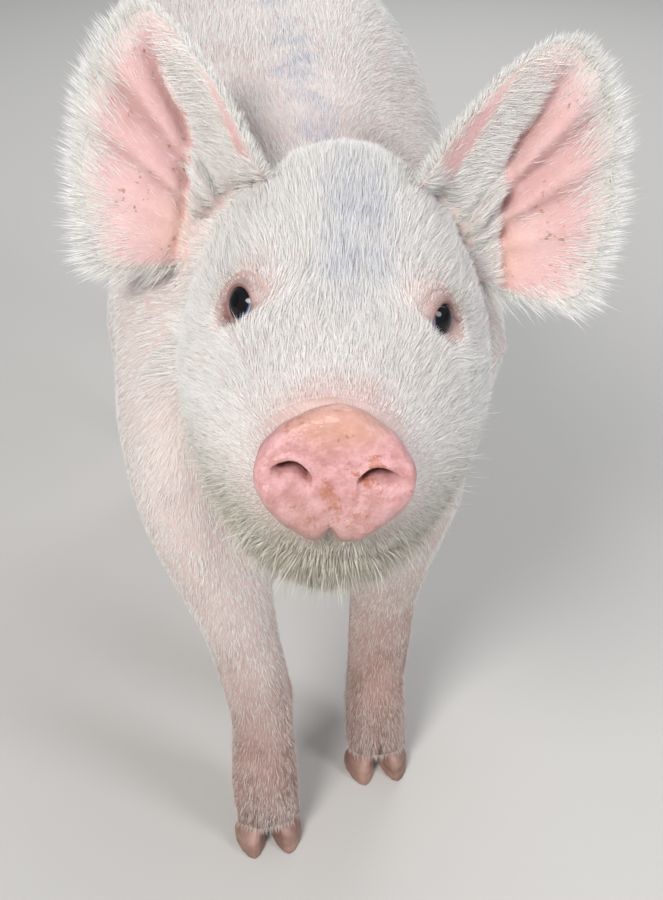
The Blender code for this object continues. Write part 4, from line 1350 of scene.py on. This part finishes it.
def eyeball(side_name, side, material):
    """A ball with a raised cornea that looks a little forward of its socket."""
    bm = bmesh.new()
    bmesh.ops.create_uvsphere(bm, u_segments=64, v_segments=48, radius=EYE_RADIUS)
    outwards, up = LID_SHIFT[side]
    gaze = Vector((side * (outwards + GAZE[0]), -1.0, up + GAZE[1])).normalized()
    turns = []
    for vertex in bm.verts:
        turn = vertex.co.normalized().angle(gaze)
        turns.append(turn)
        vertex.co *= 1 + CORNEA_RISE * math.exp(-((turn / CORNEA_TURN) ** 4))
    bmesh.ops.transform(bm, matrix=eye_axes(side), verts=bm.verts)
    mesh = mesh_from(bm, "eyeball_" + side_name)
    write(mesh, {"turn": turns})
    mesh.materials.append(material)
    mesh.shade_smooth()
    ball = new_object("eyeball_" + side_name, mesh)
    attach(ball, "root")
    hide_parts("eye_" + side_name)


# ------------ claws
HORN_GRAIN = (60.0, 60.0, 380.0)  # rings across the height of a claw
HORN_VOXEL = 0.0006
HORN_PASSES = 30
DEWCLAW_BEND = 0.0045  # of its tip, down and towards the leg
COVERED_FROM = -0.0105  # under the edge of the horn, where the draw-in starts
DRAWN_IN = 0.27  # of the way to the middle of the foot, at the edge of the horn


def horn_finish():
    finish = Finish("horn", Roughness=0.42)
    grain = finish.add("ShaderNodeMapping", inputs={"Vector": finish.place, "Scale": HORN_GRAIN})
    rings = finish.noise(1.0, 3.0, grain)
    tone = finish.layers(
        (0.21, 0.11, 0.08),
        (finish.noise(60.0, 3.0).step(0.35, 0.65), (0.39, 0.225, 0.18)),
        (rings.step(0.40, 0.65) * 0.25, (0.50, 0.33, 0.27)),
        (finish.height().step(0.006, 0.020) * 0.6, (0.47, 0.30, 0.26)),
    )
    finish.feed("Base Color", tone)
    finish.feed("Roughness", 0.36 + rings * 0.25)
    finish.bump(rings, 0.5, 0.0006)
    return finish.material


def smooth_claw(name, material):
    """A claw of horn, rounded, drawn in where the skin covers it, on flats where it stands."""
    made = remeshed(new_object(name + "_horn", mesh_from(welded(name), name + "_horn")), HORN_VOXEL)
    places = points_of(made.data)
    lowest = places[:, 2].min()
    places = relaxed(places, edges_of(made.data), HORN_PASSES, np.ones(len(places)))
    places[:, 2] = np.maximum(places[:, 2], lowest)
    if name.startswith("dew"):
        reach = (places[:, 1] - places[:, 1].min()) / np.ptp(places[:, 1])
        places -= np.outer(reach**2, (0, DEWCLAW_BEND, DEWCLAW_BEND))
    else:
        foot = min(FEET, key=lambda place: (place.xy - middle(name).xy).length)
        covered = ramp(COVERED_FROM, 0.0, over_horn(places, foot))[:, None]
        places[:, :2] += DRAWN_IN * covered * (np.array(foot.xy) - places[:, :2])
    set_points(made.data, places)
    made.data.materials.append(material)
    made.data.shade_smooth()
    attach(made, "root")
    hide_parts(name)


# ------------ studio
CAMERA_FROM_NOSE = Vector((-0.0514, -0.2941, 0.2069))
CAMERA_DROP = math.radians(33.32)
CAMERA_TURN = math.radians(9.715)
CAMERA_LENS = 46.98  # millimetres, on the long side below
CAMERA_SENSOR = 36
FLOOR_RADIUS = 14.0
FLOOR_DROP = 0.0004  # under the claws
FLOOR_FADE = (1.6, 7.0)  # from the pig, where the floor grows paler


def camera():
    data = bpy.data.cameras.new("camera")
    data.lens = CAMERA_LENS
    data.sensor_width = CAMERA_SENSOR
    made = new_object("camera", data)
    turn = Matrix.Rotation(-CAMERA_TURN, 4, "Z") @ Matrix.Rotation(math.radians(90) - CAMERA_DROP, 4, "X")
    made.matrix_world = Matrix.Translation(HEAD.translation + CAMERA_FROM_NOSE) @ turn
    bpy.context.scene.camera = made


def lamp(name, place, target, size, power, tint):
    data = bpy.data.lights.new(name, "AREA")
    data.shape = "DISK"
    data.size = size
    data.energy = power
    data.color = tint
    aim = (Vector(target) - Vector(place)).to_track_quat("-Z", "Y")
    new_object(name, data).matrix_world = Matrix.Translation(place) @ aim.to_matrix().to_4x4()


def studio():
    bm = bmesh.new()
    bmesh.ops.create_circle(bm, cap_ends=True, segments=96, radius=FLOOR_RADIUS)
    bmesh.ops.translate(bm, verts=bm.verts, vec=(0, 0, -FLOOR_DROP))
    mesh = mesh_from(bm, "floor")
    finish = Finish("floor", Roughness=0.85)
    far = finish.distance((0, 0, 0), (1, 1, 1)).step(*FLOOR_FADE)
    finish.feed("Base Color", finish.mix(far, (0.60, 0.585, 0.56), (0.97, 0.97, 0.97)))
    mesh.materials.append(finish.material)
    floor = new_object("floor", mesh)
    face = tuple(HEAD.translation)
    lamp("key", (-0.95, -1.45, 1.55), face, 0.7, 35, (1.0, 0.98, 0.96))
    lamp("fill", (1.15, -1.25, 1.15), face, 0.6, 12, (0.93, 0.96, 1.0))
    lamp("back", (0.6, 1.7, 1.7), (0, 0.1, 0.3), 1.4, 20, (1.0, 1.0, 1.0))
    world = bpy.data.worlds.new("studio")
    world.use_nodes = True
    sky = world.node_tree.nodes["Background"].inputs
    sky["Color"].default_value = (0.80, 0.84, 0.90, 1.0)
    sky["Strength"].default_value = 0.38
    bpy.context.scene.world = world
    bpy.context.scene.view_settings.view_transform = "Standard"


def mark_skin(skin, own, ears, fields):
    """Fields on the skin that its finish reads."""
    across, back, up = seen_from(HEAD, points_of(skin.data)).T
    edge = disc_edge(up)
    # painted shade for the insides of the nostrils and the grooves of the ears
    recess_shade = nostril_field(across, up)[0] * ramp(0.012, 0.010, back)
    for ear_map in ears:
        # painted shade along the grooves of the ear's hollow
        grooves = humps(ear_angle(ear_map.own), EAR_GROOVES) * ear_map.hollow
        recess_shade = recess_shade + 0.24 * grooves * ramp(0.095, 0.065, ear_map.own[:, 1])
    share = fields["share"]
    lids = 0.30 * ramp(3.2, 1.6, share) + 0.22 * ramp(1.5, 1.15, share)
    marks = {
        "nose": ramp(edge + 0.0035, edge, back),
        "hollow": np.clip(sum(ear_map.hollow for ear_map in ears), 0, 1),
        "lids": lids + 0.48 * hump(share, 1.0, 0.08),
        "recess_shade": recess_shade,
        "legs": within(own, "foreleg", "hindleg", "forefoot", "hindfoot"),
        "ochre_and_shade": fields["ochre_and_shade"],
    }
    write(skin.data, marks)


# ------------ the pig
camera()
studio()
skin, skin_shares = finished_skin()
skin.data.materials.append(skin_finish())
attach(skin, "root")
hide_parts(*FLESH)
ears, fields = grown_coat(skin, skin_shares, coat_finish())
mark_skin(skin, skin_shares, ears, fields)
glass = eye_finish()
for side_name, side in SIDES:
    eyeball(side_name, side, glass)
horn = horn_finish()
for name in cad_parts:
    if "claw" in name:
        smooth_claw(name, horn)
